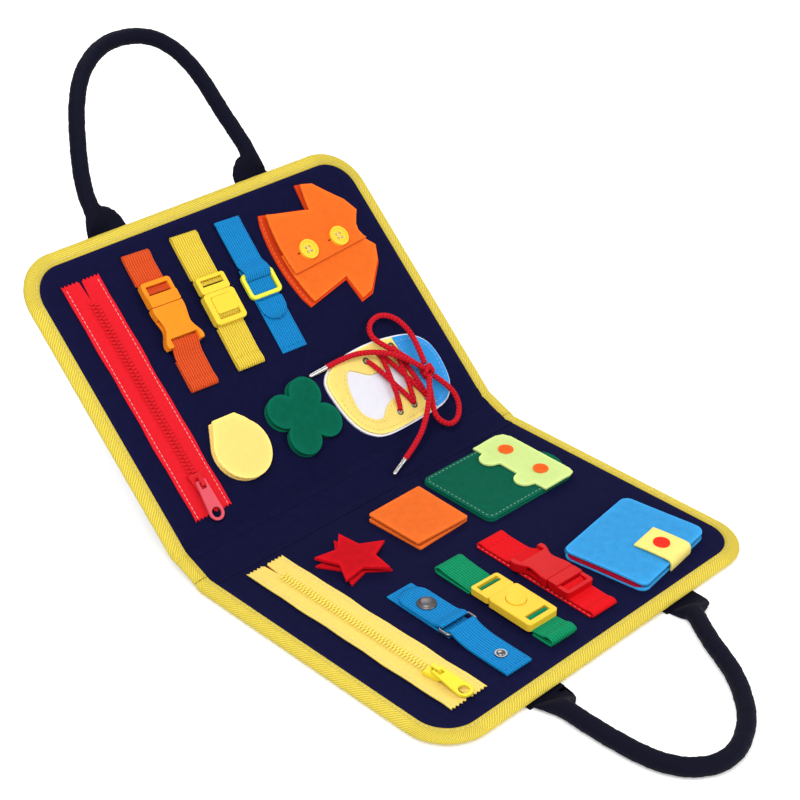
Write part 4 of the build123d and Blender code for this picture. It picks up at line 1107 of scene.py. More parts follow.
class Finishes:
    """Every finish of the board, built once."""

    def __init__(self) -> None:
        """Builds the materials."""
        navy = (0.0055, 0.0065, 0.032)
        self.navy_felt = Felt("navy_felt", (0.0064, 0.0068, 0.041), 0.45, 0.6, 0.04, 0.05).build()
        dark = (0.0018, 0.0021, 0.013)
        self.navy_cloth = Woven("navy_cloth", dark, Weave.TWILL, 0.9, 0.16, 0.6, 0.75, 0.0, 0.12).build()
        inks = ((0.85, 0.85, 0.85), (0.80, 0.22, 0.45), (0.90, 0.62, 0.08), (0.10, 0.36, 0.80), (0.42, 0.70, 0.85))
        self.printed = PrintedCloth("printed_cotton", navy, inks).build()
        self.binding = Woven("yellow_twill", (0.90, 0.70, 0.085), Weave.TWILL, 2.1, 0.55, 0.62, 0.75, 0.05).build()
        self.yellow_thread = Woven("yellow_thread", (0.93, 0.82, 0.36), Weave.TWILL, 0.6, 0.05).build()
        self.lace_braid = Woven("red_lace_braid", (0.86, 0.010, 0.028), Weave.BRAID, 2.9, 1.0, 0.50).build()
        self.card = Woven("board_card", (0.50, 0.44, 0.35), Weave.PLAIN, 1.5, 0.05).build()
        self.elastic = Woven("navy_elastic", navy, Weave.BRAID, 1.2, 0.2, 0.5).build()
        self.metal = Moulded("polished_metal", (0.24, 0.235, 0.24), 0.17, 1.0, 0.0).build()
        self.satin_metal = Moulded("satin_metal", (0.17, 0.16, 0.165), 0.36, 1.0, 0.0).build()
        self.bright_metal = Moulded("lace_tip_metal", (0.66, 0.64, 0.65), 0.2, 1.0, 0.0).build()
        self.dark_metal = Moulded("dark_metal", (0.10, 0.10, 0.11), 0.25, 1.0, 0.0).build()
        self.extra: dict[str, bpy.types.Material] = {}

    def felt(self, name: str, colour: Colour, depth: float = 0.5, shade: float = 0.82) -> bpy.types.Material:
        """A felt of its own colour, built the first time it is asked for."""
        if name not in self.extra:
            self.extra[name] = Felt(name, colour, depth, shade).build()
        return self.extra[name]

    def woven(
        self, name: str, colour: Colour, weave: Weave, pitch: float, depth: float = 0.7, shade: float = 0.48
    ) -> bpy.types.Material:
        """A woven cloth of its own colour, built the first time it is asked for."""
        if name not in self.extra:
            self.extra[name] = Woven(name, colour, weave, pitch, depth, shade).build()
        return self.extra[name]

    def webbing(self, name: str, colour: Colour, depth: float = 0.7, shade: float = 0.48) -> bpy.types.Material:
        """Ribbed webbing of its own colour."""
        return self.woven(f"{name}_webbing", colour, Weave.RIBS, 1.9, depth, shade)

    def thread(self, name: str, colour: Colour) -> bpy.types.Material:
        """Sewing thread of its own colour."""
        return self.woven(f"{name}_thread", colour, Weave.TWILL, 0.6, 0.05)

    def blue_webbing(self) -> bpy.types.Material:
        """The webbing of the belt and the snap strap."""
        return self.webbing("blue", (0.006, 0.27, 0.68), 0.7, 0.52)

    def button_yellow(self) -> bpy.types.Material:
        """The plastic of the shirt's buttons and the closing button."""
        return self.moulded("button_yellow", (0.94, 0.64, 0.045), 0.3)

    def moulded(self, name: str, colour: Colour, rough: float = 0.22) -> bpy.types.Material:
        """A glossy plastic of its own colour, built the first time it is asked for."""
        if name not in self.extra:
            self.extra[name] = Moulded(name, colour, rough).build()
        return self.extra[name]


def dress(finish: bpy.types.Material, *nodes: str) -> None:
    """Gives modelled parts that stay their finish."""
    for node in nodes:
        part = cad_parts[node]
        part.data.materials.clear()
        part.data.materials.append(finish)
        LOG.info("%s keeps its shape", node)


# ---------------------------------------------------------------- stage


@dataclass
class Studio:
    """Camera, lights and floor."""

    place: tuple[float, float, float] = (-0.7195, -0.6209, 0.7062)
    azimuth: float = -45.75
    elevation: float = 31.33
    roll: float = 1.15
    lens: float = 81.82

    def camera(self) -> None:
        """Puts the camera at the viewing angle."""
        az, el, roll = (math.radians(a) for a in (self.azimuth, self.elevation, self.roll))
        back = Vector((math.sin(az) * math.cos(el), -math.cos(az) * math.cos(el), math.sin(el)))
        right = Vector((math.cos(az), math.sin(az), 0.0))
        up = back.cross(right)
        x = right * math.cos(roll) + up * math.sin(roll)
        y = up * math.cos(roll) - right * math.sin(roll)
        data = bpy.data.cameras.new("view")
        data.lens = self.lens
        data.sensor_width = 36.0
        data.sensor_fit = "HORIZONTAL"
        data.clip_end = 20.0
        camera = bpy.data.objects.new("view", data)
        turn = Matrix((x, y, back)).transposed().to_4x4()
        camera.matrix_world = Matrix.Translation(self.place) @ turn
        bpy.context.collection.objects.link(camera)
        bpy.context.scene.camera = camera

    def lamp(self, name: str, spot: Sequence[float], aim: Sequence[float], size: float, power: float) -> None:
        """Adds one soft square lamp."""
        data = bpy.data.lights.new(name, "AREA")
        data.shape = "SQUARE"
        data.size = size
        data.energy = power
        lamp = bpy.data.objects.new(name, data)
        toward = Vector(aim) - Vector(spot)
        lamp.matrix_world = Matrix.Translation(spot) @ toward.to_track_quat("-Z", "Y").to_matrix().to_4x4()
        bpy.context.collection.objects.link(lamp)

    def light(self) -> None:
        """Soft studio lamps and a pale world that the camera sees as white."""
        self.lamp("key_lamp", (-0.9, -0.5, 1.5), (0.0, 0.05, 0.05), 0.9, 22.5)
        self.lamp("fill_lamp", (0.6, -1.5, 0.9), (0.0, 0.05, 0.05), 1.2, 10.5)
        self.lamp("back_lamp", (0.9, 1.3, 1.3), (0.0, 0.1, 0.1), 1.0, 10.5)
        world = bpy.data.worlds.new("studio")
        bpy.context.scene.world = world
        world.use_nodes = True
        tree = world.node_tree
        tree.nodes["Background"].inputs["Color"].default_value = (1.0, 1.0, 1.0, 1.0)
        plain = tree.nodes["Background"]
        plain.inputs["Strength"].default_value = 0.56
        seen = tree.nodes.new("ShaderNodeBackground")
        seen.inputs["Strength"].default_value = 1.0
        path = tree.nodes.new("ShaderNodeLightPath")
        mix = tree.nodes.new("ShaderNodeMixShader")
        tree.links.new(path.outputs["Is Camera Ray"], mix.inputs[0])
        tree.links.new(plain.outputs[0], mix.inputs[1])
        tree.links.new(seen.outputs[0], mix.inputs[2])
        tree.links.new(mix.outputs[0], tree.nodes["World Output"].inputs["Surface"])

    def floor(self) -> None:
        """A plain pale floor that keeps the board's soft shadow."""
        deselect()
        bpy.ops.mesh.primitive_plane_add(size=8.0, location=(0.0, 0.0, -0.0006))
        floor = named("studio_floor")
        material = bpy.data.materials.new("studio_floor")
        material.use_nodes = True
        tree = material.node_tree
        shader = tree.nodes["Principled BSDF"]
        shader.inputs["Base Color"].default_value = (0.93, 0.93, 0.93, 1.0)
        shader.inputs["Roughness"].default_value = 0.9
        shader.inputs["Specular IOR Level"].default_value = 0.0
        glow = tree.nodes.new("ShaderNodeEmission")
        glow.inputs["Strength"].default_value = 0.30
        seen = tree.nodes.new("ShaderNodeMixShader")
        add = tree.nodes.new("ShaderNodeAddShader")
        path = tree.nodes.new("ShaderNodeLightPath")
        tree.links.new(shader.outputs[0], add.inputs[0])
        tree.links.new(glow.outputs[0], add.inputs[1])
        tree.links.new(path.outputs["Is Camera Ray"], seen.inputs[0])
        tree.links.new(shader.outputs[0], seen.inputs[1])
        tree.links.new(add.outputs[0], seen.inputs[2])
        tree.links.new(seen.outputs[0], tree.nodes["Material Output"].inputs["Surface"])
        floor.data.materials.append(material)

    def build(self) -> None:
        """Sets up the camera, the lights and the floor."""
        bpy.context.scene.view_settings.view_transform = "Standard"
        self.camera()
        self.light()
        self.floor()


# ---------------------------------------------------------------- panels and spine


def tape_section(thick: float, low: float = 0.0) -> list[Point]:
    """The section of edge tape folded round an edge: inset from the edge, and height above the face.

    Args:
        thick: thickness of what the tape folds round.
        low: how far the tape's lower edge lies below the outer cloth.

    Returns:
        The section, from the tape's inner edge on top to the one underneath.
    """
    top = ((10.3, 0.0), (10.0, 0.45), (8.6, 0.58), (7.9, 0.36), (6.7, 0.62), (4.5, 0.48), (2.6, -0.05), (1.1, -0.95))
    below = ((0.2, 0.2), (0.15, 0.37), (1.2, 0.55), (3.4, 0.75), (6.0, 0.92), (8.5, 1.0), (10.8, 1.0))
    under = [(inset, -1.0 - (thick - 1.0) * share + (low if share > 0.9 else 0.0)) for inset, share in below]
    return list(top) + under


@dataclass
class Panel:
    """One padded panel: outer cloth, felt lining, edge tape and the tabs of its handle."""

    face: Face
    way: int
    finishes: Finishes
    name: str = field(init=False)

    def __post_init__(self) -> None:
        """Names the panel after its body."""
        self.name = "lower" if self.way < 0 else "upper"

    def fix(
        self,
        piece: bpy.types.Object,
        finish: bpy.types.Material,
        slot: str,
        stands_for: Sequence[str] = (),
        angle: float = 60,
    ) -> None:
        """Settles a finished piece on the panel's face."""
        settle(piece, self.face.place(), self.face.body, finish, slot, stands_for, angle)

    def rail(self, inset: float, start: float = 2.0, steps: int = 18) -> list[tuple[Vector, Vector]]:
        """The line that the edge tape follows, with its inward direction.

        Args:
            inset: distance in from the edge.
            start: distance from the crease where the tape starts.
            steps: steps round each corner.

        Returns:
            Spots from the crease up the left side, over the far edge and back.
        """
        half = WIDTH / 2 - inset
        far = DEPTH - inset
        radius = CORNER - inset
        spots: list[tuple[Vector, Vector]] = []
        rises = [start + (DEPTH - CORNER - start) * k / 40 for k in range(40)]
        spots += [(Vector((-half, y)), Vector((1, 0))) for y in rises]
        for k in range(steps):
            turn = math.radians(180 - 90 * k / steps)
            out = Vector((math.cos(turn), math.sin(turn)))
            spots.append((Vector((-half + radius, far - radius)) + out * radius, -out))
        runs = [-half + radius + 2 * (half - radius) * k / 56 for k in range(57)]
        spots += [(Vector((x, far)), Vector((0, -1))) for x in runs]
        for k in range(1, steps + 1):
            turn = math.radians(90 - 90 * k / steps)
            out = Vector((math.cos(turn), math.sin(turn)))
            spots.append((Vector((half - radius, far - radius)) + out * radius, -out))
        spots += [(Vector((half, y)), Vector((-1, 0))) for y in rises[::-1]]
        return [(Vector((p.x, self.way * p.y)), Vector((n.x, self.way * n.y))) for p, n in spots]

    def outline(self, inset: float, start: float = 0.4) -> list[Point]:
        """The panel's outline, anticlockwise, drawn in by an inset."""
        ring = [(p.x, p.y) for p, _ in self.rail(inset, start, 12)]
        return ring if self.way < 0 else ring[::-1]

    def edge_tape(self) -> None:
        """Twill tape folded round the edge, with its row of stitches."""
        rail = self.rail(0.0, 0.3)
        runs = lengths_along([place for place, _ in rail])
        low = 0.0 if self.way < 0 else -0.35
        section = tape_section(THICK, low)
        widths = [0.0]
        for a, b in zip(section, section[1:]):
            widths.append(widths[-1] + math.dist(a, b))
        rows = len(rail) - 1
        columns = len(section) - 1

        def spot(a: float, b: float) -> tuple[float, float, float]:
            """One point of the tape."""
            i = min(round(b * rows), rows)
            inset, height = section[min(round(a * columns), columns)]
            base, inward = rail[i]
            pucker = 0.12 * math.sin(runs[i] * 0.9) + 0.08 * math.sin(runs[i] * 0.37 + 1.0)
            grow = pucker * 0.7 if height > 0.3 else 0.0
            place = base + inward * (inset + (pucker if inset < 1.0 else 0.0))
            return place.x, place.y, height + grow

        tape = sheet_of(f"{self.name}_edge_tape", columns, rows, spot, (widths[-1], runs[-1]))
        apply_modifier(tape, "SUBSURF", levels=1, render_levels=1)
        turn_faces_from(tape, Vector((0, self.way * DEPTH / 2, -THICK / 2)))
        self.fix(tape, self.finishes.binding, "yellow_binding", [f"{self.name}_binding"], 70)
        seam = BINDING - 2.6
        row = [(p.x + n.x * seam, p.y + n.y * seam) for p, n in rail]
        sewn = stitch_row(f"{self.name}_edge_stitches", [row], 0.66, 2.2, 0.9, 0.5)
        self.fix(sewn, self.finishes.yellow_thread, "yellow_binding", [], 40)

    def lining(self) -> None:
        """The felt of the inner face, a little padded between its seams."""

        def lift(x: float, y: float) -> float:
            """The felt's rise at one place."""
            wave = math.sin(x / 37.0) * math.cos(y / 29.0 + 0.6) + 0.6 * math.sin(x / 17.0 + y / 23.0)
            return -0.12 + 0.07 * wave

        felt = felt_cut(
            f"{self.name}_felt_lining", self.outline(BINDING - 0.8, 0.3), 1.3, -1.35, grain=6.0, edge=0.2, lift=lift
        )
        self.fix(felt, self.finishes.navy_felt, "navy_felt", [f"{self.name}_lining"])

    def outer(self) -> None:
        """The outer cloth with its print, and the tabs that hold the handle."""
        cloth = felt_cut(
            f"{self.name}_outer_cloth", self.outline(BINDING - 1.0, 0.4), 0.9, -THICK + 0.12, grain=8.0, edge=0.15
        )
        self.fix(cloth, self.finishes.printed, "printed_cloth", [f"{self.name}_cover"])
        self.handle_tabs()

    def handle_tabs(self) -> None:
        """The two sewn tabs of the handle, thinner under the panel that lies on the table."""
        way, wide, sewn_in = self.way, 16.0, 2.0
        tip = DEPTH - 57.0 + wide
        low = -THICK if way < 0 else -THICK - 0.9
        depth = 0.55 if way < 0 else 1.5
        narrow = wide - sewn_in
        top = way * (DEPTH - 22.0)
        tabs: list[bpy.types.Object] = []
        rows: list[list[Point]] = []
        for x in (-HANDLE_X, HANDLE_X):
            ring = [(u, way * v) for u, v in arc((x, tip), wide, range(180, 361, 12))]
            ring += [(x + wide - 0.4, way * (DEPTH + 1.0)), (x - wide + 0.4, way * (DEPTH + 1.0))]
            ring = ring if way > 0 else ring[::-1]
            tabs.append(felt_cut(f"tab{x:.0f}", ring, depth, low, grain=5.0, edge=0.25))
            inner = [(u, way * v) for u, v in arc((x, tip), narrow, range(180, 361, 12))]
            rows.append([(x - narrow, top)] + inner + [(x + narrow, top)])
            rows.append([(x - narrow, top), (x + narrow, top)])
        self.fix(join(tabs, f"{self.name}_handle_tabs"), self.finishes.navy_cloth, "navy_cloth")
        if way > 0:
            sewn = stitch_row(f"{self.name}_tab_stitches", rows, -THICK - 0.95, 2.2, 0.9, 0.45)
            self.fix(sewn, self.finishes.navy_cloth, "navy_cloth", [], 40)

    def build(self) -> None:
        """Makes the whole panel."""
        self.lining()
        self.outer()
        self.edge_tape()
        card = felt_cut(f"{self.name}_board", self.outline(3.8, 0.8), 3.8, -5.35, grain=30.0, edge=0.3)
        self.fix(card, self.finishes.card, "board", [f"{self.name}_stiffener"])


def round_the_crease(along: float) -> float:
    """How much of a crease's turn cloth has made at a distance past the crease."""
    bend = 2.5
    return eased(min(max((along + bend) / (2 * bend), 0.0), 1.0))


@dataclass
class Spine:
    """The strip between the panels, and the cloth that runs on over both creases."""

    finishes: Finishes

    def creases(self) -> tuple[tuple[str, Vector, float, str, str, Point], ...]:
        """Each crease: its side, its place, the slope before it, the bodies and thicknesses it joins."""
        return (
            ("lower", Vector(SPINE.origin), 0.0, "lower_panel", "spine", (THICK, SPINE_THICK)),
            ("upper", Vector(UPPER.origin), FOLD, "spine", "upper_panel", (SPINE_THICK, THICK)),
        )

    def crossing(
        self, name: str, crease: Vector, tilt: float, a: str, b: str, ends: tuple[float, float], outer: bool
    ) -> None:
        """A strip of cloth that bends over one crease, inside or outside.

        Args:
            name: the strip's name.
            crease: the crease's place.
            tilt: the slope of the face before the crease, in degrees.
            a: the body before the crease; not used.
            b: the body after it; not used.
            ends: the thickness of the board before and after the crease.
            outer: whether the strip lies on the outside.
        """
        reach = 9.0 if outer else 7.0
        half = WIDTH / 2 - BINDING + 0.6

        def spot(u: float, v: float) -> Vector:
            """One point of the strip."""
            along = (v - 0.5) * 2 * reach
            share = round_the_crease(along)
            slope = math.radians(tilt + FOLD * (1.0 if along > 0 else 0.0))
            base = crease + Vector((0, math.cos(slope), math.sin(slope))) * along
            turn = math.radians(tilt + FOLD * share)
            normal = Vector((0, -math.sin(turn), math.cos(turn)))
            depth = 0.08 - 0.25 * math.exp(-((along / 1.2) ** 2))
            if outer:
                depth = -(ends[0] + (ends[1] - ends[0]) * share) - 0.12
            spread = base + normal * depth
            return Vector(((u - 0.5) * 2 * half, spread.y, max(spread.z, 0.08)))

        strip = sheet_of(name, 60, 18, spot, (2 * half, 2 * reach))
        apply_modifier(strip, "SOLIDIFY", thickness=0.35, offset=0.0)
        turn_faces_out(strip)
        finish = self.finishes.printed if outer else self.finishes.navy_felt
        piece = settle(strip, Matrix.Scale(MM, 4), "", finish, "printed_cloth" if outer else "navy_felt", [], 60)
        self.bend(piece, crease, tilt, a, b)

    def bend(self, piece: bpy.types.Object, crease: Vector, tilt: float, a: str, b: str) -> None:
        """Bakes a piece's place into its mesh."""
        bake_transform(piece)

    def end_tape(self) -> None:
        """Edge tape over the two ends of the strip and round the creases."""
        metres = Matrix.Scale(MM, 4)
        finish = self.finishes.binding
        for side, x in (("left", -1), ("right", 1)):
            for label, crease, tilt, a, b, ends in self.creases():
                tape = self.tape_over(f"{side}_{label}_crease_tape", x, crease, tilt, ends, (-3.5, 3.5))
                piece = settle(tape, metres, "", finish, "yellow_binding", [], 70)
                self.bend(piece, crease, tilt, a, b)
        start = Vector(SPINE.origin)
        thick = (SPINE_THICK, SPINE_THICK)
        pieces = [self.tape_over(f"end{x}", x, start, FOLD, thick, (2.6, 22.4), FOLD) for x in (-1, 1)]
        ends = join(pieces, "spine_end_tape")
        settle(ends, metres, "spine", finish, "yellow_binding", ["spine_binding"], 70)

    def tape_over(
        self,
        name: str,
        side: int,
        crease: Vector,
        tilt: float,
        ends: tuple[float, float],
        span: tuple[float, float],
        after: float | None = None,
    ) -> bpy.types.Object:
        """A short length of edge tape that follows the fold.

        Args:
            name: the piece's name.
            side: -1 for the left end, 1 for the right one.
            crease: the crease's place.
            tilt: the slope before the crease.
            ends: the board's thickness before and after it.
            span: where the tape starts and ends, from the crease.
            after: the slope after the crease, if it isn't the next face's.

        Returns:
            The piece.
        """
        second = tilt + FOLD if after is None else after

        def spot(u: float, v: float) -> Vector:
            """One point of the tape."""
            along = span[0] + (span[1] - span[0]) * v
            share = round_the_crease(along)
            slope = math.radians(tilt if along < 0 else second)
            base = crease + Vector((0, math.cos(slope), math.sin(slope))) * along
            turn = math.radians(tilt + (second - tilt) * share)
            normal = Vector((0, -math.sin(turn), math.cos(turn)))
            thick = ends[0] + (ends[1] - ends[0]) * share
            section = tape_section(thick, -0.1)
            inset, height = section[min(round(u * 14), 14)]
            place = base + normal * height
            return Vector((side * (WIDTH / 2 - inset), place.y, max(place.z, 0.05)))

        tape = sheet_of(name, 14, 12, spot, (30.0, abs(span[1] - span[0])))
        apply_modifier(tape, "SUBSURF", levels=1, render_levels=1)
        turn_faces_from(tape, crease + Vector((side * (WIDTH / 2 - 6.0), 0.0, -2.0)))
        return tape

    def build(self) -> None:
        """Makes the spine."""
        half = WIDTH / 2 - BINDING + 0.8
        near, far = 0.6, SPINE_WIDTH - 0.6
        strip = [(-half, near), (half, near), (half, far), (-half, far)]
        felt = felt_cut(
            "spine_felt", strip, 1.2, -1.25, grain=5.0, edge=0.2, lift=lambda x, y: 0.05 * math.sin(x / 21.0)
        )
        settle(felt, SPINE.place(), "spine", self.finishes.navy_felt, "navy_felt", ["spine_cover"], 60)
        cloth = felt_cut("spine_outer_cloth", strip, 1.0, -SPINE_THICK, grain=8.0, edge=0.15)
        settle(cloth, SPINE.place(), "spine", self.finishes.printed, "printed_cloth", [], 60)
        for label, outer in (("felt", False), ("cloth", True)):
            for side, crease, tilt, a, b, ends in self.creases():
                self.crossing(f"{side}_crease_{label}", crease, tilt, a, b, ends, outer)
        self.end_tape()


@dataclass
class Handle:
    """A stuffed cloth handle: two flat necks that swell into a round loop."""

    face: Face
    way: int
    run: tuple[Point, ...]
    finishes: Finishes
    radius: float = 5.75

    def build(self) -> None:
        """Makes the handle."""
        name = "lower_handle" if self.way < 0 else "upper_handle"
        tube_height = self.radius + 0.3 - THICK
        root_height = (0.45 if self.way < 0 else -0.35) - THICK
        first, last = self.run[0], self.run[-1]
        neck = (DEPTH + 11.0, (root_height + tube_height) / 2)
        root = ((DEPTH - 2.0, root_height), (DEPTH + 4.0, root_height))
        right = [(HANDLE_X, *place) for place in root] + [((HANDLE_X + first[0]) / 2, *neck)]
        left = [((last[0] - HANDLE_X) / 2, *neck)] + [(-HANDLE_X, *place) for place in root[::-1]]
        loop = right + [(x, y, tube_height) for x, y in self.run] + left
        line = through([Vector((x, self.way * y, z)) for x, y, z in loop])
        total = line_length(line)

        def girth(share: float) -> Point:
            """Half width and half height at a share of the handle's length."""
            along = min(share, 1 - share) * total
            knots = ((0.0, 15.6, 0.5), (6.0, 15.2, 0.6), (10.0, 14.2, 1.5), (14.0, 12.2, 3.2), (17.5, 9.4, 4.7))
            knots += ((20.5, 6.6, 5.5), (23.5, self.radius, self.radius))
            for (a, w0, h0), (b, w1, h1) in zip(knots, knots[1:]):
                if along <= b:
                    t = eased(min((along - a) / (b - a), 1.0))
                    return w0 + (w1 - w0) * t, h0 + (h1 - h0) * t
            return self.radius, self.radius

        step = 2.2
        fine = [spot for spot, _ in evenly([tuple(p) for p in line], step)]
        tube = tube_along(name + "_cloth", fine, girth, 28)
        spots = vertices_of(tube)
        axis = np.array([tuple(p) for p in fine])
        for i, spot in enumerate(spots):
            gaps = ((axis - spot) ** 2).sum(1)
            nearest = int(gaps.argmin())
            out = spot - axis[nearest]
            length = math.sqrt(gaps[nearest])
            if length > 3.0:
                run = nearest * step
                crease = 0.16 * math.sin(run * 0.55 + out[0] * 0.4) * math.sin(run * 0.17)
                crease += 0.10 * math.sin(run * 1.3 + out[2] * 0.8)
                spots[i] = spot + out / length * crease
        if self.way < 0:
            spots[:, 2] = np.maximum(spots[:, 2], -THICK + 0.02)
        set_vertices(tube, spots)
        piece = settle(tube, self.face.place(), "", self.finishes.navy_cloth, "navy_cloth", [name], 80)
        edge = self.face.point(0, self.way * (DEPTH + 3.5), -THICK)
        end = self.face.point(0, self.way * (DEPTH + 9.5), -THICK)
        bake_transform(piece)


# ---------------------------------------------------------------- zips


@dataclass
class Zip:
    """A zip: pinked tape, moulded teeth, slider and puller."""

    name: str
    face: Face
    place: Point
    length: float
    chain: Point
    lift: float
    tape: bpy.types.Material
    teeth: bpy.types.Material
    lined: bpy.types.Material | None = None
    width: float = 30.0
    pink: float = 3.0
    tooth_pitch: float = 1.35

    def outline(self) -> list[Point]:
        """The tape's outline with its pinked ends."""
        half = self.width / 2
        steps = round(self.width / self.pink)
        pink = self.width / steps
        low = [(-half + pink * k / 2, (k % 2) * pink / 2) for k in range(2 * steps + 1)]
        high = [(half - pink * k / 2, self.length - (k % 2) * pink / 2) for k in range(2 * steps + 1)]
        rises = [self.length * (k + 1) / 22 for k in range(20)]
        right = [(half + 0.55 * math.sin(y / 7.0) * math.sin(y / 23.0), y) for y in rises]
        left = [(-half + 0.55 * math.sin(y / 8.0 + 1.0) * math.cos(y / 19.0), y) for y in rises[::-1]]
        return low + right + high + left

    def mouths(self) -> list[list[Point]]:
        """The gaps at the two open ends of the tape."""
        low, high = self.chain
        return [
            [(-1.7, -4.0), (1.7, -4.0), (0.15, low - 4.0), (-0.15, low - 4.0)],
            [(-0.15, high + 3.0), (0.15, high + 3.0), (1.7, self.length + 4.0), (-1.7, self.length + 4.0)],
        ]

    def tooth_row(self) -> bpy.types.Object:
        """One tooth is modelled and copied up both sides of the chain."""
        deselect()
        bpy.ops.mesh.primitive_cube_add(size=1)
        model = named("tooth")
        set_vertices(model, vertices_of(model) * np.array((3.4, 0.95, 1.3)))
        apply_modifier(model, "BEVEL", width=0.28, segments=2, limit_method="NONE")
        shape, faces = taken_apart(model)
        reach = self.chain[1] - self.chain[0]
        count = int(reach / self.tooth_pitch)
        copies: list[np.ndarray] = []
        for k in range(count):
            side = -1 if k % 2 else 1
            y = self.chain[0] + reach * (k + 0.5) / count
            copies.append(shape + np.array((side * 1.45, y, 1.0 + 0.68)))
        return laid_copies(f"{self.name}_zip_teeth", copies, faces)

    def build(self, thread: bpy.types.Material) -> None:
        """Makes the zip."""
        at = self.face.place(*self.place, self.lift)
        slot = f"{self.name}_zip"

        def lift(x: float, y: float) -> float:
            """The tape's rise at one place: its long edges curl a little."""
            edge = max(abs(x) - 9.0, 0.0)
            return 0.02 * edge + 0.12 * math.sin(y / 19.0) * edge / 6.0 + 0.06

        tape = felt_cut(
            f"{self.name}_zip_tape_cloth", self.outline(), 0.75, 0.0, cuts=self.mouths(), edge=0.15, lift=lift
        )
        settle(tape, at, self.face.body, self.tape, slot, [f"{self.name}_zip_tape"])
        row = self.tooth_row()
        settle(row, at, self.face.body, self.teeth, slot)
        hem = self.width / 2 - 2.4
        lines = [[(x, 3.0 + k * 2.0) for k in range(int((self.length - 6) / 2))] for x in (-hem, hem)]
        sewn = stitch_row(f"{self.name}_zip_stitches", lines, lambda x, y: 0.75 + lift(x, y), 2.6, 0.7, 0.55)
        settle(sewn, at, self.face.body, thread, slot)
        cords = [[(x, self.chain[0] - 2.0), (x, self.chain[1] + 2.0)] for x in (-4.1, 4.1)]
        seam = stitch_row(f"{self.name}_zip_seams", cords, 0.85, 1.4, 0.35, 0.6)
        settle(seam, at, self.face.body, self.tape, slot)
        if self.lined:
            strips = [
                felt_cut("s1", rounded_box(6.0, self.chain[0] - 6.0, 1.0), 0.5, 0.0, edge=0.1),
                felt_cut("s2", rounded_box(6.0, self.length - self.chain[1] - 6.0, 1.0), 0.5, 0.0, edge=0.1),
            ]
            strips[0].data.transform(Matrix.Translation((0, self.chain[0] / 2, 0)))
            strips[1].data.transform(Matrix.Translation((0, (self.length + self.chain[1]) / 2, 0)))
            lining = join(strips, f"{self.name}_zip_lining")
            settle(lining, self.face.place(*self.place), self.face.body, self.lined, slot)


# ---------------------------------------------------------------- straps


@dataclass
class Strap:
    """Webbing with its base strap, its stitches and the stretch that climbs through a buckle."""

    name: str
    face: Face
    x: float
    y: float
    turn: float
    cloth: bpy.types.Material
    slot: str
    width: float = 21.5
    thick: float = 1.3

    @property
    def at(self) -> Matrix:
        """The strap's place: its middle, with y along it."""
        return self.face.place(self.x, self.y, 0.0, self.turn)

    def put(
        self,
        label: str,
        path: Sequence[Point],
        stands_for: Sequence[str] = (),
        thickness: float | None = None,
        body: str = "",
        round_end: float = 0.0,
        width: float | None = None,
        narrow: Callable[[float], float] | None = None,
    ) -> bpy.types.Object:
        """Makes one length of webbing and lays it in place."""
        name = f"{self.name}_{label}"
        tape = ribbon(name, path, width or self.width, thickness or self.thick, round_end, narrow)
        return settle(tape, self.at, body or self.face.body, self.cloth, self.slot, stands_for, 50)

    def sew(self, label: str, rows: Sequence[Sequence[Point]], height: float, thread: bpy.types.Material) -> None:
        """Sews rows of stitches on the strap."""
        sewn = stitch_row(f"{self.name}_{label}", rows, height, 2.4, 1.5, 0.5)
        settle(sewn, self.at, self.face.body, thread, self.slot)

    def slides_with(self, piece: bpy.types.Object, joint: str, far: float, keep: float) -> None:
        """Gives the strap's plug side a mesh of its own."""
        along = (self.at.to_3x3() @ Vector((0, 1, 0))).normalized()
        self.at @ Vector((0, far, 0))
        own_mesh(piece)


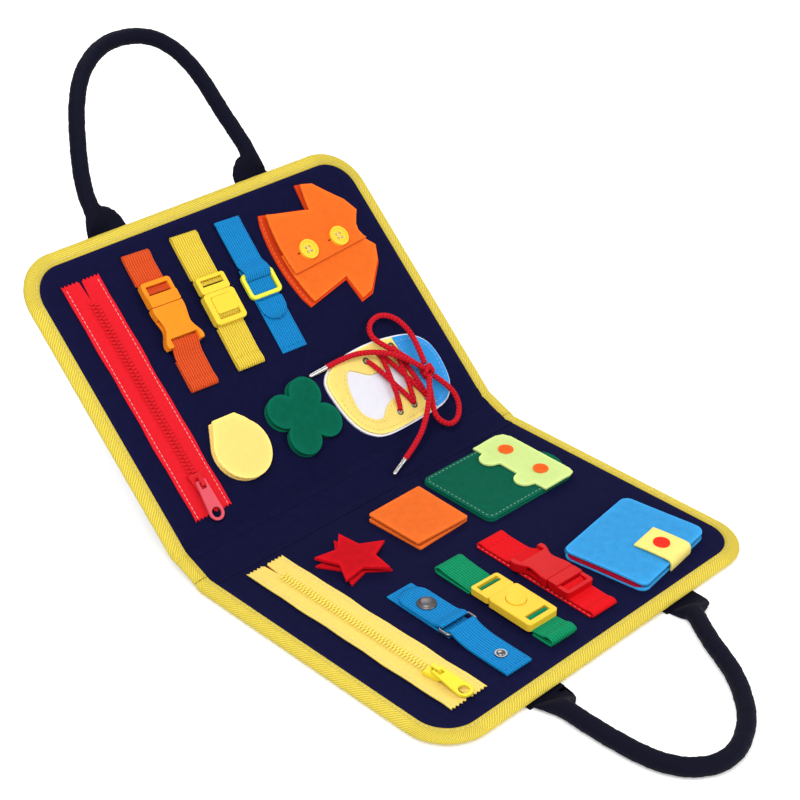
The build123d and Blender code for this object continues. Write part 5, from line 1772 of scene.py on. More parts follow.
@dataclass
class BuckledStrap:
    """A doubled strap on each side of a buckle.

    Each far value is where that side's fold lies, and each climb is where the webbing starts to rise
    and how deep in the buckle it ends, all from the buckle's mouth.
    """

    strap: Strap
    plug_far: float
    plug_climb: Point
    body_far: float
    body_climb: Point
    over_bar: bool = False
    travel: float = 24.0
    puff: Point = (0.0, 0.0)

    def folded(self, way: int, far: float, top: Sequence[Point]) -> list[Point]:
        """The strap's long section: over the top, round the fold at its sewn end and back underneath.

        Args:
            way: 1 where the strap runs up from the buckle, -1 where it runs down.
            far: distance of the fold from the buckle's mouth.
            top: the part at the buckle, as distances from its mouth.

        Returns:
            The section as (distance along, height).
        """
        thick = self.strap.thick
        puff = self.puff[0 if way > 0 else 1]
        under, over = thick / 2, thick * 1.95 + puff * 0.6
        path = list(top) + [
            (far * 0.6 + top[-1][0] * 0.4, over),
            (far - 7.0, over + 0.15 + puff * 0.2),
            (far - 3.4, over + 0.9 + puff * 0.15),
            (far - 1.0, over + 0.55),
            (far + 0.1, over - 0.55 + puff * 0.1),
            (far - 0.6, under + 0.35),
            (far - 6.0, under),
            (top[-1][0] + 1.0, under),
        ]
        return [(way * y, z) for y, z in path]

    def build(self, thread: bpy.types.Material) -> None:
        """Makes both sides."""
        thick = self.strap.thick
        near, deep = self.plug_climb
        top = [(deep + 0.9, 6.6), (deep + 2.0, 6.4), (near - 1.1, 5.0), (near + 0.5, 3.0), (near + 3.0, 2.7)]
        plug_side = self.strap.put(
            "plug_strap",
            self.folded(1, self.plug_far, top),
            [f"{self.strap.name}_webbing"],
            narrow=lambda y: 0.8 if y < near + 0.5 else 1.0,
        )
        keep = 1.0 - self.travel / (self.plug_far - deep - 0.9)
        self.strap.slides_with(plug_side, f"{self.strap.name}_plug_slide", self.plug_far, max(keep, 0.15))
        near, deep = self.body_climb
        if self.over_bar:
            top = [(deep + 0.8, 5.8), (near - 3.5, 6.1), (near - 0.5, 5.5), (near + 3.0, 3.9), (near + 7.0, 2.7)]
            self.strap.put("body_strap", self.folded(-1, self.body_far, top))
        else:
            top = [(deep + 0.9, 7.2), (deep + 2.0, 6.9), (near - 1.1, 5.3), (near + 0.5, 3.1), (near + 3.0, 3.0)]
            self.strap.put(
                "body_strap",
                self.folded(-1, self.body_far, top),
                narrow=lambda y: 0.8 if -y < near + 0.5 else 1.0,
            )
        half = self.strap.width / 2 - 2.0
        rows = [[(-half, -self.body_far + gap), (half, -self.body_far + gap)] for gap in (5.0, 8.5)]
        self.strap.sew("strap_stitches", rows, thick * 2.45, thread)


# ---------------------------------------------------------------- things to do


@dataclass
class Activities:
    """What the two inner faces share: their finishes, and felt shapes that snap on."""

    finishes: Finishes

    def snap_shape(
        self,
        name: str,
        outline: Sequence[Point],
        at: Matrix,
        felt: bpy.types.Material,
        body: str,
        turn: float = 3.0,
    ) -> None:
        """A sewn base, its metal snap, and the felt top that lifts off.

        Args:
            name: the shape's name.
            outline: its outline, anticlockwise.
            at: its place.
            felt: the felt of its base and its top.
            body: the panel that holds the base.
            turn: how far the base is turned from its top, in degrees.
        """
        slot = f"{name}_felt"
        c, r = math.cos(math.radians(turn)), math.sin(math.radians(turn))
        turned = [(c * x - r * y, r * x + c * y) for x, y in outline]
        base = felt_cut(f"{name}_base", turned, FELT, 0.0, lift=ripple(0.15, 40.0))
        settle(base, at, body, felt, slot)
        deselect()
        bpy.ops.mesh.primitive_cylinder_add(vertices=32, radius=4.0, depth=1.5, location=(0, 0, 2.4))
        stud = named(f"{name}_snap")
        bpy.ops.object.transform_apply(location=True, rotation=True, scale=True)
        apply_modifier(stud, "BEVEL", width=0.5, segments=3, limit_method="ANGLE")
        flat_map(stud)
        settle(stud, at, body, self.finishes.metal, slot)
        far = max(math.hypot(*p) for p in outline)

        def curl(x: float, y: float) -> float:
            """The top's edges lift or droop a little round its snap."""
            out = math.hypot(x, y) / far
            return 0.55 * out * out * math.sin(math.atan2(y, x) * 2 + len(name)) + 0.1

        top = felt_cut(f"{name}_top_felt", outline, 2.0, 3.5, lift=curl, edge=0.6)
        settle(top, at, name, felt, slot, [f"{name}_top"])


@dataclass
class UpperActivities(Activities):
    """Everything on the upper face; places are along and up the face, with a turn in degrees."""

    zip_place: Point = (-107.5, 14.0)
    orange_place: Spot = (-62.5, 153.0, -2.7)
    yellow_place: Spot = (-21.4, 148.0, -2.8)
    belt_place: Spot = (17.3, 142.0, -2.5)
    shirt_place: Point = (82.0, 150.0)
    shirt_hinge: float = 33.0
    shirt_buttons: tuple[Point, Point] = ((-16.0, 0.5), (14.0, 1.0))
    lemon_place: Point = (-65.7, 43.5)
    clover_place: Point = (-9.0, 44.5)
    shoe_place: Point = (70.0, 40.0)

    def straps(self) -> None:
        """Orange and yellow buckled straps and the blue belt."""
        f = self.finishes
        webbing = f.webbing("orange", (0.86, 0.095, 0.018))
        strap = Strap("orange", UPPER, *self.orange_place, webbing, "orange_webbing")
        buckled = BuckledStrap(strap, 42.0, (15.5, 8.8), 61.0, (30.0, 24.0), True, puff=(-0.7, 0.0))
        buckled.build(f.thread("orange", (0.72, 0.085, 0.016)))
        dress(f.moulded("orange_plastic", (0.94, 0.28, 0.014)), "orange_buckle_plug", "orange_buckle_socket")
        webbing = f.webbing("yellow", (0.94, 0.68, 0.060), 0.7, 0.55)
        strap = Strap("yellow", UPPER, *self.yellow_place, webbing, "yellow_webbing")
        buckled = BuckledStrap(strap, 47.0, (10.2, 5.5), 56.0, (20.0, 15.1), travel=22.0)
        buckled.build(f.thread("strap_yellow", (0.76, 0.46, 0.022)))
        plastic = f.moulded("yellow_plastic", (0.92, 0.66, 0.050))
        dress(plastic, "yellow_buckle_plug", "yellow_buckle_body", "yellow_buckle_push_pad")
        blue = f.blue_webbing()
        belt = Strap("belt", UPPER, *self.belt_place, blue, "blue_webbing")
        upper = [(4.2, 2.6), (6.0, 4.4), (8.6, 5.7), (11.5, 4.9), (16.5, 2.0), (22.0, 1.7)]
        upper += [(44.0, 1.5), (49.0, 1.9), (52.0, 1.4)]
        belt.put("over_ring", upper, ["belt_webbing"], 1.7)
        belt.put("base_strap", [(-52.0, 0.65), (-30.0, 0.65), (0.0, 0.65), (14.0, 0.65)], [], 1.25)
        belt.put("patch", [(-10.8, 2.05), (-5.0, 1.95), (3.8, 2.05)], [], 1.1, width=20.5)
        belt.put("loose_end", [(-28.0, 2.3), (-20.0, 2.25), (-12.1, 2.3)], ["belt_tongue"], 1.35, "belt_tongue", 10.7)
        belt.sew("belt_stitches", [[(-8.5, 48.5), (8.5, 48.5)], [(-8.5, -48.5), (8.5, -48.5)]], 1.6, blue)
        dress(f.moulded("lemon_plastic", (0.84, 0.84, 0.06)), "belt_ring")

    def shirt(self) -> None:
        """The felt shirt with its buttoned front."""
        f = self.finishes
        felt = f.felt("orange_felt", (0.93, 0.165, 0.018), 0.6, 0.76)
        half = [(42.0, 14.5), (36.5, 25.5), (17.0, 44.5), (7.0, 47.0), (4.0, 27.5), (-33.0, 35.5)]
        half += [(-38.5 + 5.5 * (v / 35.5) ** 2, v) for v in (29.0, 22.0, 15.0, 8.0, 0.0)]
        dip = [(38.0, 9.5), (34.8, 5.0), (33.5, 0.0)]
        ring = half + [(u, -v) for u, v in half[-2::-1]] + [(u, -v) for u, v in dip[:2]] + [dip[2]] + dip[1::-1]
        at = UPPER.place(*self.shirt_place)
        deep = f.felt("shirt_base_felt", (0.68, 0.052, 0.007), 0.6)
        wider = [(u - 3.4 * (u < 0), v * 1.03) for u, v in moved_in(ring, -1.2)]
        settle(felt_cut("shirt_base", wider, FELT, 0.0), at, UPPER.body, deep, "orange_felt", ["shirt_back"])
        big = 90.0
        off = [(-big, 4.0), (big, 4.0), (big, big), (-big, big)]

        def flare(x: float, y: float) -> float:
            """The under front rises towards the hem."""
            return 0.2 + 1.6 * max(0.0, -(x + 24.0) / 14.0)

        under = felt_cut("shirt_under_front", ring, FELT, FELT, cuts=[off], lift=flare)
        settle(under, at, UPPER.body, felt, "orange_felt")

        def curl(x: float, y: float) -> float:
            """The free edge of the buttoned front stands a little proud."""
            free = max(0.0, 1.0 - (y + 10.0) / 26.0)
            hold = min(1.0, min(math.hypot(x - u, y - v) for u, v in self.shirt_buttons) / 13.0)
            hem = max(0.0, -(x + 23.0) / 14.0)
            sleeve = max(0.0, (abs(y) - 26.0) / 18.0)
            return 0.15 + 0.5 * free * free * hold + 2.2 * hem * hem + 1.4 * sleeve * sleeve * (x > 5.0)

        below = [(-big, -big), (big, -big), (big, -7.2), (34.0, -7.4), (-38.0, -12.6), (-big, -13.0)]
        slot = [(-10.2, -0.5), (-2.6, -0.6), (-1.9, -1.9), (1.9, -1.9), (2.6, -0.6), (9.0, -0.5)]
        slot += [(x, -y) for x, y in slot[::-1]]
        slits = [[(x + u, y + v) for x, y in slot] for u, v in self.shirt_buttons]
        front = felt_cut("shirt_buttoned_front", ring, FELT, 3.3, holes=slits, cuts=[below], lift=curl)
        piece = settle(front, at, "", felt, "orange_felt", ["shirt_front"])
        middle, low = self.shirt_place
        hinge = UPPER.point(middle, low + self.shirt_hinge, 4.0)
        free = UPPER.point(middle, low + self.shirt_hinge - 9.0, 4.0)
        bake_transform(piece)
        thread = f.thread("shirt", (0.93, 0.30, 0.10))
        hem = [(-41.0 + 5.5 * (v / 36.0) ** 2, v) for v in range(-34, 35, 2)]
        sewn = stitch_row("shirt_stitches", [hem], 1.6, 2.4, 0.9, 0.55)
        settle(sewn, at, UPPER.body, thread, "orange_felt")
        dress(f.button_yellow(), "shirt_buttons")
        crosses = []
        for u, v in self.shirt_buttons:
            for a, b in (((-1.7, -1.7), (1.7, 1.7)), ((-1.7, 1.7), (1.7, -1.7))):
                crosses.append([(u + a[0], v + a[1]), (u + b[0], v + b[1])])
        sewn = stitch_row("shirt_button_thread", crosses, 6.6, 5.0, 0.0, 0.7)
        settle(sewn, at, UPPER.body, f.thread("button", (0.86, 0.78, 0.55)), "button_yellow")

    def fruit_and_leaf(self) -> None:
        """The lemon and the clover, each a felt shape that snaps onto a sewn one."""
        f = self.finishes
        lemon = arc((0.0, 0.0), 21.5, range(0, 360, 5))
        lemon = [p for p in lemon if not (-18.3 < p[0] < 14.0 and p[1] > 8.0)]
        cut = next(i for i, p in enumerate(lemon) if p[0] <= -18.0 and p[1] > 0)
        lemon = lemon[:cut] + [(-18.3, 11.2)] + lemon[cut:]
        lemon = lemon[:cut] + [(13.0, 18.5), (7.1, 24.2), (-10.5, 25.0)] + lemon[cut:]
        felt = f.felt("lemon_felt", (0.97, 0.70, 0.20), 0.45, 0.90)
        self.snap_shape("lemon", lemon, UPPER.place(*self.lemon_place), felt, UPPER.body)
        clover: list[Point] = []
        for k in range(4):
            middle = math.radians(45 + 12 + 90 * k)
            centre = (16.3 * math.cos(middle), 16.3 * math.sin(middle))
            for a in np.linspace(-113.3, 113.3, 27):
                turn = middle + math.radians(float(a))
                clover.append((centre[0] + 12.4 * math.cos(turn), centre[1] + 12.4 * math.sin(turn)))
        green = f.felt("clover_felt", (0.0003, 0.130, 0.072), 0.5, 0.6)
        self.snap_shape("clover", clover, UPPER.place(*self.clover_place), green, UPPER.body)
        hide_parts("lemon_and_clover_bases")

    def shoe(self) -> None:
        """The felt shoe: sole and tongue, upper, heel patch and eyelets."""
        f = self.finishes
        points = [(-48, 20), (-49, 2), (-45, -16), (-36, -28), (-22, -33.5), (8, -33.5), (36, -31)]
        points += [(49, -20), (53, -3), (51, 13), (42, 23), (30, 28), (0, 32), (-32, 29.5)]
        sole = closed_curve(points, 7)
        at = UPPER.place(*self.shoe_place)
        white = f.felt("shoe_white_felt", (0.78, 0.78, 0.86), 0.35, 0.88)
        base = felt_cut("shoe_base", sole, FELT, 0.0)
        settle(base, at, UPPER.body, white, "shoe_white_felt", ["shoe_sole"])
        window = closed_curve(
            [(-28, 19), (-34, 7), (-35, -10), (-28, -19), (-20, -21), (-13.5, -16), (-6, -12.5)]
            + [(14, -8), (16, 8), (-4, 10), (-12, 11), (-22, 18)],
            5,
        )
        big = 100.0
        heel_line = [(21.5, 40.0), (23.0, 12.0), (26.5, -40.0)]
        right = heel_line[::-1] + [(21.5, big), (big, big), (big, -big), (26.5, -big)]
        left = [(u + 0.3, v) for u, v in heel_line] + [(26.8, -big), (-big, -big), (-big, big), (21.8, big)]
        holes = [circle(1.4, p, 16) for p in self.eyelet_places()]
        inner = moved_in(sole, 1.4)
        upper = felt_cut("shoe_upper_felt", inner, FELT, FELT, holes=[window[::-1]] + holes, cuts=[right[::-1]])
        yellow = f.felt("shoe_yellow_felt", (0.96, 0.75, 0.20), 0.5, 0.8)
        settle(upper, at, UPPER.body, yellow, "shoe_yellow_felt", ["shoe_upper"])
        heel = felt_cut("shoe_heel_felt", inner, FELT, FELT, cuts=[left])
        blue = f.felt("shoe_blue_felt", (0.035, 0.30, 0.74), 0.5)
        settle(heel, at, UPPER.body, blue, "shoe_blue_felt", ["shoe_heel_patch"])
        self.eyelets(at)
        around = moved_in(sole, 4.6)
        yellow_row = [p for p in around if p[0] < 24.0 and p[1] < 5.0]
        blue_row = [p for p in around if p[0] > 27.0]
        thread = f.thread("shoe", (0.90, 0.62, 0.16))
        sewn = stitch_row("shoe_stitches", [yellow_row, moved_in(window, -2.2)[:46]], 3.05, 2.2, 1.2, 0.45)
        settle(sewn, at, UPPER.body, thread, "shoe_yellow_felt")
        thread = f.thread("heel", (0.45, 0.66, 0.90))
        seam = [(24.6 + 0.06 * k, 24.0 - 1.0 * k) for k in range(52)]
        sewn = stitch_row("heel_stitches", [blue_row, seam], 3.05, 2.2, 1.2, 0.45)
        settle(sewn, at, UPPER.body, thread, "shoe_blue_felt")

    def eyelet_places(self) -> list[Point]:
        """Where the shoe's eyelets are, lower row last."""
        return [(-8.5, 20.5), (4.5, 21.0), (18.0, 22.5), (-5.0, -22.5), (9.0, -22.5), (22.0, -22.0)]

    def eyelets(self, at: Matrix) -> None:
        """Metal rings: dark in the upper row and bright in the lower one."""
        for label, places, finish in (
            ("upper", self.eyelet_places()[:3], self.finishes.dark_metal),
            ("lower", self.eyelet_places()[3:], self.finishes.metal),
        ):
            rings = []
            for u, v in places:
                deselect()
                bpy.ops.mesh.primitive_torus_add(
                    major_radius=2.1, minor_radius=0.62, major_segments=28, minor_segments=10, location=(u, v, 3.15)
                )
                bpy.ops.object.transform_apply(location=True, rotation=True, scale=True)
                rings.append(bpy.context.object)
            piece = join(rings, f"shoe_{label}_eyelets")
            flat_map(piece)
            settle(piece, at, UPPER.body, finish, "shoe_yellow_felt")

    def build(self) -> None:
        """Makes everything on the upper face."""
        f = self.finishes
        red = f.woven("red_zip_tape", (0.74, 0.010, 0.020), Weave.PLAIN, 0.8, 0.12, 0.85)
        teeth = f.moulded("red_zip_teeth", (0.72, 0.010, 0.018), 0.45)
        zipped = Zip("red", UPPER, self.zip_place, 178.0, (16.0, 160.0), 0.0, red, teeth)
        zipped.build(f.thread("pink", (0.90, 0.50, 0.50)))
        dress(f.moulded("red_slider_lacquer", (0.66, 0.012, 0.020), 0.3), "red_zip_slider")
        dress(f.moulded("pink_red_lacquer", (0.72, 0.085, 0.12), 0.24), "red_zip_puller")
        self.straps()
        self.shirt()
        self.fruit_and_leaf()
        self.shoe()


@dataclass
class Lace:
    """The shoe lace: lacing, knot, two loops and two tails with stiff tips."""

    finishes: Finishes
    diameter: float = 4.0
    upper_loop: tuple[Spot, ...] = (
        (101.3, 39.8, 9.4),
        (104.5, 54, 9.2),
        (105.5, 68, 8),
        (101, 80, 7),
        (91, 86.5, 6),
        (79, 84, 6),
        (72, 75, 8),
        (75.5, 64, 11.5),
        (84, 54, 12.6),
        (96.3, 38.6, 9.8),
    )
    left_tail: tuple[Spot, ...] = (
        (94.9, 37.0, 13.6),
        (85, 47, 15.5),
        (74, 57.5, 14),
        (60, 65.5, 10),
        (45, 69, 6.8),
        (28, 68.5, 4.2),
    )
    right_loop: tuple[Spot, ...] = (
        (103.1, 29, 9.2),
        (110.5, 17, 9.5),
        (110.5, 4, 10),
        (101.5, -6.5, 11),
        (90, -8.5, 11.8),
        (82.5, 1, 12),
        (88, 14, 11.8),
        (97, 29, 9.8),
    )
    lower_tail: tuple[Spot, ...] = (
        (95.6, 29.6, 13.7),
        (86.5, 19, 16),
        (75, 6, 15.5),
        (59, -7, 14),
        (40, -14.5, 12.5),
    )

    def cord(self, name: str, route: Sequence[Sequence[float]], diameter: float, tip: bool) -> None:
        """One free length of lace.

        Args:
            name: the piece's name.
            route: its control points on the upper face.
            diameter: its thickness.
            tip: whether it ends in a stiff tip.
        """
        line = route_line(name + "_route", [Vector(p) for p in route])
        spots = [s for s, _ in evenly([tuple(p) for p in line], 1.2)]
        tube = tube_along(name, spots, lambda share: (diameter / 2, diameter / 2), 18)
        piece = settle(tube, UPPER.place(), UPPER.body, self.finishes.lace_braid, "red_lace", [], 80)
        path = [UPPER.place() @ p for p in spots]
        if tip:
            self.tip(name + "_tip", Vector(route[-1]), Vector(route[-2]))
        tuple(path[0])
        line_length(path)
        self.draw_in(piece)

    def draw_in(self, piece: bpy.types.Object) -> None:
        """Gives a free piece of lace a mesh of its own."""
        knot = UPPER.point(90.0, 34.0, 3.0)
        along = UPPER.place().to_3x3() @ Vector((0, 1, 0))
        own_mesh(piece)

    def tip(self, name: str, end: Vector, before: Vector) -> bpy.types.Object:
        """A stiff tip: a thin tube with a pinched end.

        Args:
            name: the piece's name.
            end: where the lace ends.
            before: the control point before it.

        Returns:
            The tip.
        """
        along = (end - before).normalized()
        path = [end + along * (-1.0 + 17.0 * k / 24) for k in range(25)]

        def girth(share: float) -> Point:
            """Thicker at the lace, with a slight pinch half way."""
            pinch = 0.12 * math.exp(-(((share - 0.35) / 0.06) ** 2))
            size = 1.75 - 0.25 * share - pinch
            return size, size

        tube = tube_along(name, path, girth, 16, 1.2)
        piece = settle(tube, UPPER.place(), UPPER.body, self.finishes.bright_metal, "lace_tip", [], 80)
        self.draw_in(piece)
        return piece

    def lacing(self) -> None:
        """The crossing strands between the eyelets, and the knot."""
        rest = 5.6
        rungs = []
        pairs = (((78.9, 17.6), (61.6, 60.4)), ((65.1, 17.6), (74.6, 61.0)), ((92.0, 18.0), (74.5, 61.0)))
        pairs += (((79.0, 17.6), (88.0, 62.4)), ((92.0, 18.1), (88.1, 62.4)))
        for k, (a, b) in enumerate(pairs):
            lift = 1.2 if k in (1, 3) else 0.0
            marks = ((1.0, 0.0, 3.2), (0.92, 0.08, rest), (0.5, 0.5, rest + lift), (0.08, 0.92, rest), (0.0, 1.0, 3.2))
            route = [Vector((a[0] * p + b[0] * q, a[1] * p + b[1] * q, height)) for p, q, height in marks]
            spots = [s for s, _ in evenly([tuple(p) for p in route_line("rung", route)], 1.2)]
            rungs.append(tube_along(f"rung{k}", spots, lambda share: (1.9, 1.6), 16, 1.0))
        centre = Vector((100.0, 34.0, 9.2))
        for k, (size, tilt) in enumerate(((4.3, 0.5), (3.6, -0.7))):
            ring = []
            for step in range(25):
                turn = 2 * math.pi * step / 24
                side = Vector((math.cos(turn) * size, math.sin(turn) * size * 0.45, math.sin(turn) * size * 0.8))
                side.rotate(Matrix.Rotation(tilt, 3, "Z"))
                ring.append(centre + side)
            rungs.append(tube_along(f"knot{k}", ring, lambda share: (2.0, 2.0), 16))
        piece = join(rungs, "shoe_lacing_and_knot")
        settle(piece, UPPER.place(), UPPER.body, self.finishes.lace_braid, "red_lace", ["shoe_lacing"], 80)

    def build(self) -> None:
        """Makes the whole lace."""
        self.cord("lace_upper_loop", self.upper_loop, self.diameter, False)
        self.cord("lace_left_tail", self.left_tail, self.diameter, True)
        self.cord("lace_right_loop", self.right_loop, self.diameter, False)
        self.cord("lace_lower_tail", self.lower_tail, self.diameter, True)
        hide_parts("lace_bow")
        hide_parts("lace_tips")
        self.lacing()


@dataclass
class LowerActivities(Activities):
    """Everything on the lower face; places are along and up the face, with a turn in degrees."""

    zip_place: Point = (-105.5, -193.0)
    green_place: Spot = (-22.3, -142.5, -2.0)
    red_place: Spot = (17.5, -156.0, 178.0)
    snap_place: Spot = (-62.7, -143.0, -1.3)
    star_place: Point = (-60.5, -50.0)
    square_place: Point = (2.0, -46.0)
    satchel_place: Point = (77.0, -49.5)
    satchel_size: Point = (84.0, 66.0)
    wallet_place: Point = (83.0, -164.5)
    wallet_size: Point = (78.0, 62.0)
    cap_rows: Point = (17.0, -16.0)

    def straps(self) -> None:
        """The snap strap and the green and red buckled straps."""
        f = self.finishes
        strap = Strap("green", LOWER, *self.green_place, f.webbing("green", (0.001, 0.33, 0.135)), "green_webbing")
        buckled = BuckledStrap(strap, 48.5, (13.7, 9.0), 53.0, (33.0, 28.1), travel=22.0, puff=(2.4, 2.8))
        buckled.build(f.thread("green", (0.002, 0.20, 0.065)))
        plastic = f.moulded("golden_plastic", (0.90, 0.58, 0.036), 0.3)
        dress(plastic, "green_buckle_plug", "green_buckle_body", "green_buckle_push_button")
        red = f.webbing("red", (0.74, 0.003, 0.008), 0.35, 0.84)
        strap = Strap("red", LOWER, *self.red_place, red, "red_webbing")
        buckled = BuckledStrap(strap, 38.5, (15.5, 8.8), 62.5, (30.0, 24.0), True)
        buckled.build(f.thread("strap_red", (0.66, 0.005, 0.010)))
        base = Strap("red_base", LOWER, *self.red_place, red, "red_webbing", 23.6)
        base.put("webbing", [(-62.0, 0.5), (-30.0, 0.5), (8.0, 0.5), (37.0, 0.5)], [], 0.9)
        edges = [[(side * 11.0, y) for y in range(-61, 37, 3)] for side in (-1, 1)]
        base.sew("edge_stitches", edges, 0.95, f.thread("rose", (0.84, 0.24, 0.25)))
        dress(f.moulded("red_plastic", (0.60, 0.003, 0.006), 0.38), "red_buckle_plug", "red_buckle_socket")
        self.snap_strap()

    def snap_strap(self) -> None:
        """Blue webbing that turns back through a wire ring and closes with a snap."""
        f = self.finishes
        blue = f.blue_webbing()
        strap = Strap("snap", LOWER, *self.snap_place, blue, "blue_webbing")
        back = [(-52.0, 1.3), (-48.0, 1.5), (-38.0, 1.35), (-20.0, 1.5)]
        back += [(-12.0, 2.6), (-7.0, 4.1), (-4.4, 5.6), (-2.6, 4.9)]
        strap.put("back_strap", back, ["snap_webbing"], 2.2)
        strap.put("base_strap", [(-3.5, 0.65), (20.0, 0.65), (48.0, 0.65), (52.0, 0.65)], [], 1.25)
        front = [(47.0, 2.9), (44.0, 2.9), (30.0, 2.9), (14.0, 3.0), (9.0, 3.7), (6.4, 4.9), (4.4, 5.6), (2.6, 4.9)]
        tongue = ribbon("snap_tongue_webbing", [(-y, z) for y, z in front], strap.width, 2.3, 10.5)
        tongue.data.transform(Matrix.Rotation(math.pi, 4, "Z"))
        settle(tongue, strap.at, "snap_tongue", blue, "blue_webbing", ["snap_tongue"], 50)
        deselect()
        bpy.ops.mesh.primitive_uv_sphere_add(segments=40, ring_count=20, radius=6.5, location=(0, 0, 0))
        cap = named("snap_cap")
        spots = vertices_of(cap)
        spots[:, 2] = np.where(spots[:, 2] > 0, spots[:, 2] * 0.42, spots[:, 2] * 0.05)
        radius = np.hypot(spots[:, 0], spots[:, 1])
        spots[:, 2] -= 0.5 * np.exp(-(((radius - 5.4) / 0.5) ** 2)) * (spots[:, 2] > 0)
        spots += np.array((0.0, 27.0, 4.25))
        set_vertices(cap, spots)
        settle(cap, strap.at, "snap_tongue", f.satin_metal, "metal")
        dress(f.metal, "snap_ring_and_grommet")
        deselect()
        bpy.ops.mesh.primitive_uv_sphere_add(segments=32, ring_count=16, radius=2.9, location=(0, 0, 0))
        rivet = named("snap_rivet")
        spots = vertices_of(rivet)
        spots[:, 2] *= np.where(spots[:, 2] > 0, 0.42, 0.1)
        set_vertices(rivet, spots + np.array((0.0, -36.5, 3.2)))
        settle(rivet, strap.at, LOWER.body, f.metal, "metal")
        rows = [[(-8.5, -48.5), (8.5, -48.5)], [(-8.5, -15.0), (8.5, -15.0)]]
        strap.sew("snap_stitches", rows, 2.55, f.thread("strap_blue", (0.008, 0.15, 0.48)))

    def star_and_square(self) -> None:
        """Two felt shapes that snap off."""
        f = self.finishes
        star = []
        for k in range(5):
            for radius, turn in ((26.0, 0.0), (13.2, 36.0)):
                a = math.radians(-2.0 + 72 * k + turn)
                star.append((radius * math.cos(a), radius * math.sin(a)))
        red = f.felt("star_felt", (0.60, 0.003, 0.010), 0.5, 0.66)
        self.snap_shape("star", star, LOWER.place(*self.star_place), red, LOWER.body, 8.0)
        square = rounded_box(47.0, 47.0, 1.5, 4)
        orange = f.felt("square_felt", (0.90, 0.165, 0.022), 0.6, 0.74)
        self.snap_shape("square", square, LOWER.place(*self.square_place, 0.0, -1.0), orange, LOWER.body)
        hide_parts("star_and_square_bases")

    def satchel(self) -> None:
        """The felt satchel with its flap and grip."""
        f = self.finishes
        at = LOWER.place(*self.satchel_place, 0.0, -1.0)
        green = f.felt("satchel_green_felt", (0.0003, 0.118, 0.066), 0.5, 0.62)
        body = rounded_box(*self.satchel_size, 6.0, 8)
        back = felt_cut("satchel_back", body, 1.45, 0.0)
        front = felt_cut("satchel_front", moved_in(body, 0.3), 1.45, 1.5, lift=ripple(0.3, 70.0, 2.0))
        side = self.satchel_size[0] / 2
        turns = np.linspace(-math.pi / 2, math.pi / 2, 24)
        outer = [(side + 8.0 * math.cos(a), 13.0 * math.sin(a) - 7.0) for a in turns]
        inner = [(side + 4.9 * math.cos(a), 8.0 * math.sin(a) - 7.0) for a in turns[::-1]]
        grip = felt_cut("satchel_grip", outer + inner, 1.4, 0.0, grain=2.0, edge=0.3)
        piece = join([back, front, grip], "satchel_pocket_felt")
        settle(piece, at, LOWER.body, green, "satchel_green_felt", ["satchel_pocket"])
        rise = ripple(0.3, 70.0, 2.0)
        sewn = stitch_row(
            "satchel_stitches", [self.satchel_seam()], lambda x, y: 3.05 + rise(x, y), 2.2, 1.4, 0.45
        )
        settle(sewn, at, LOWER.body, f.thread("pale_green", (0.42, 0.60, 0.50)), "satchel_green_felt")
        flap: list[Point] = [(36.0, -34.5), (40.5, -33.0), (side, -28.5), (side, 27.0)]
        flap += [(39.5, 32.5), (34.0, 34.5), (11.0, 34.5)]
        for v in self.cap_rows:
            flap += [(11.0, v + 8.5), (9.0, v + 7.6)] + arc((9.5, v), 7.5, range(105, 256, 10))
            flap += [(9.0, v - 7.6), (11.0, v - 8.5)]
        flap += [(11.0, -34.5)]

        def droop(x: float, y: float) -> float:
            """The flap rises over the pocket's folded end and comes down to its front."""
            return 0.2 + 0.5 * math.exp(-(((x - 30.0) / 9.0) ** 2)) + 0.25 * math.sin(y / 9.0) * (x < 20)

        light = f.felt("satchel_light_felt", (0.62, 0.78, 0.27), 0.45, 0.88)
        cover = felt_cut("satchel_flap_felt", flap, FELT, 3.3, lift=droop)
        settle(cover, at, "satchel_flap", light, "satchel_light_felt", ["satchel_flap"])
        orange = f.felt("dot_felt", (0.90, 0.12, 0.015), 0.4)
        dots = [
            felt_cut(f"dot{v:.0f}", circle(5.5, (26.0, v), 36), 0.9, 4.95, grain=2.0, edge=0.35) for v in self.cap_rows
        ]
        for dot in dots:
            set_vertices(dot, vertices_of(dot) + np.array((0.0, 0.0, 0.45)))
        settle(join(dots, "satchel_dots"), at, "satchel_flap", orange, "satchel_light_felt")

    def satchel_seam(self) -> list[Point]:
        """The seam round the satchel's bottom and two sides."""
        half, deep = (size / 2 - 2.6 for size in self.satchel_size)
        radius = 4.5
        turned = radius - half
        line: list[Point] = [(38.0, deep), (turned, deep)]
        line += arc((turned, deep - radius), radius, range(100, 181, 10))
        line += arc((turned, radius - deep), radius, range(180, 271, 10))
        return line + [(38.0, -deep)]

    def wallet(self) -> None:
        """The folded wallet with its tab."""
        f = self.finishes
        at = LOWER.place(*self.wallet_place, 0.0, 8.0)
        blue = f.felt("wallet_blue_felt", (0.045, 0.36, 0.78), 0.6, 0.68)
        red = f.felt("wallet_red_felt", (0.42, 0.004, 0.030), 0.4, 0.7)
        body = rounded_box(*self.wallet_size, 6.0, 7)
        back = felt_cut("wallet_back_felt", body, FELT, 0.0)
        settle(back, at, LOWER.body, blue, "wallet_red_felt", ["wallet_back"])
        leaves = []
        for k, (low, high) in enumerate(((1.55, 1.5), (3.15, 1.6))):
            leaf = [(x - 0.9, y + 0.8) for x, y in rounded_box(76.0 - 1.0 * k, 56.0, 5.0, 6)]
            leaves.append(felt_cut(f"leaf{k}", leaf, high, low, lift=ripple(0.15, 50.0, k)))
        settle(join(leaves, "wallet_leaves"), at, LOWER.body, red, "wallet_red_felt")

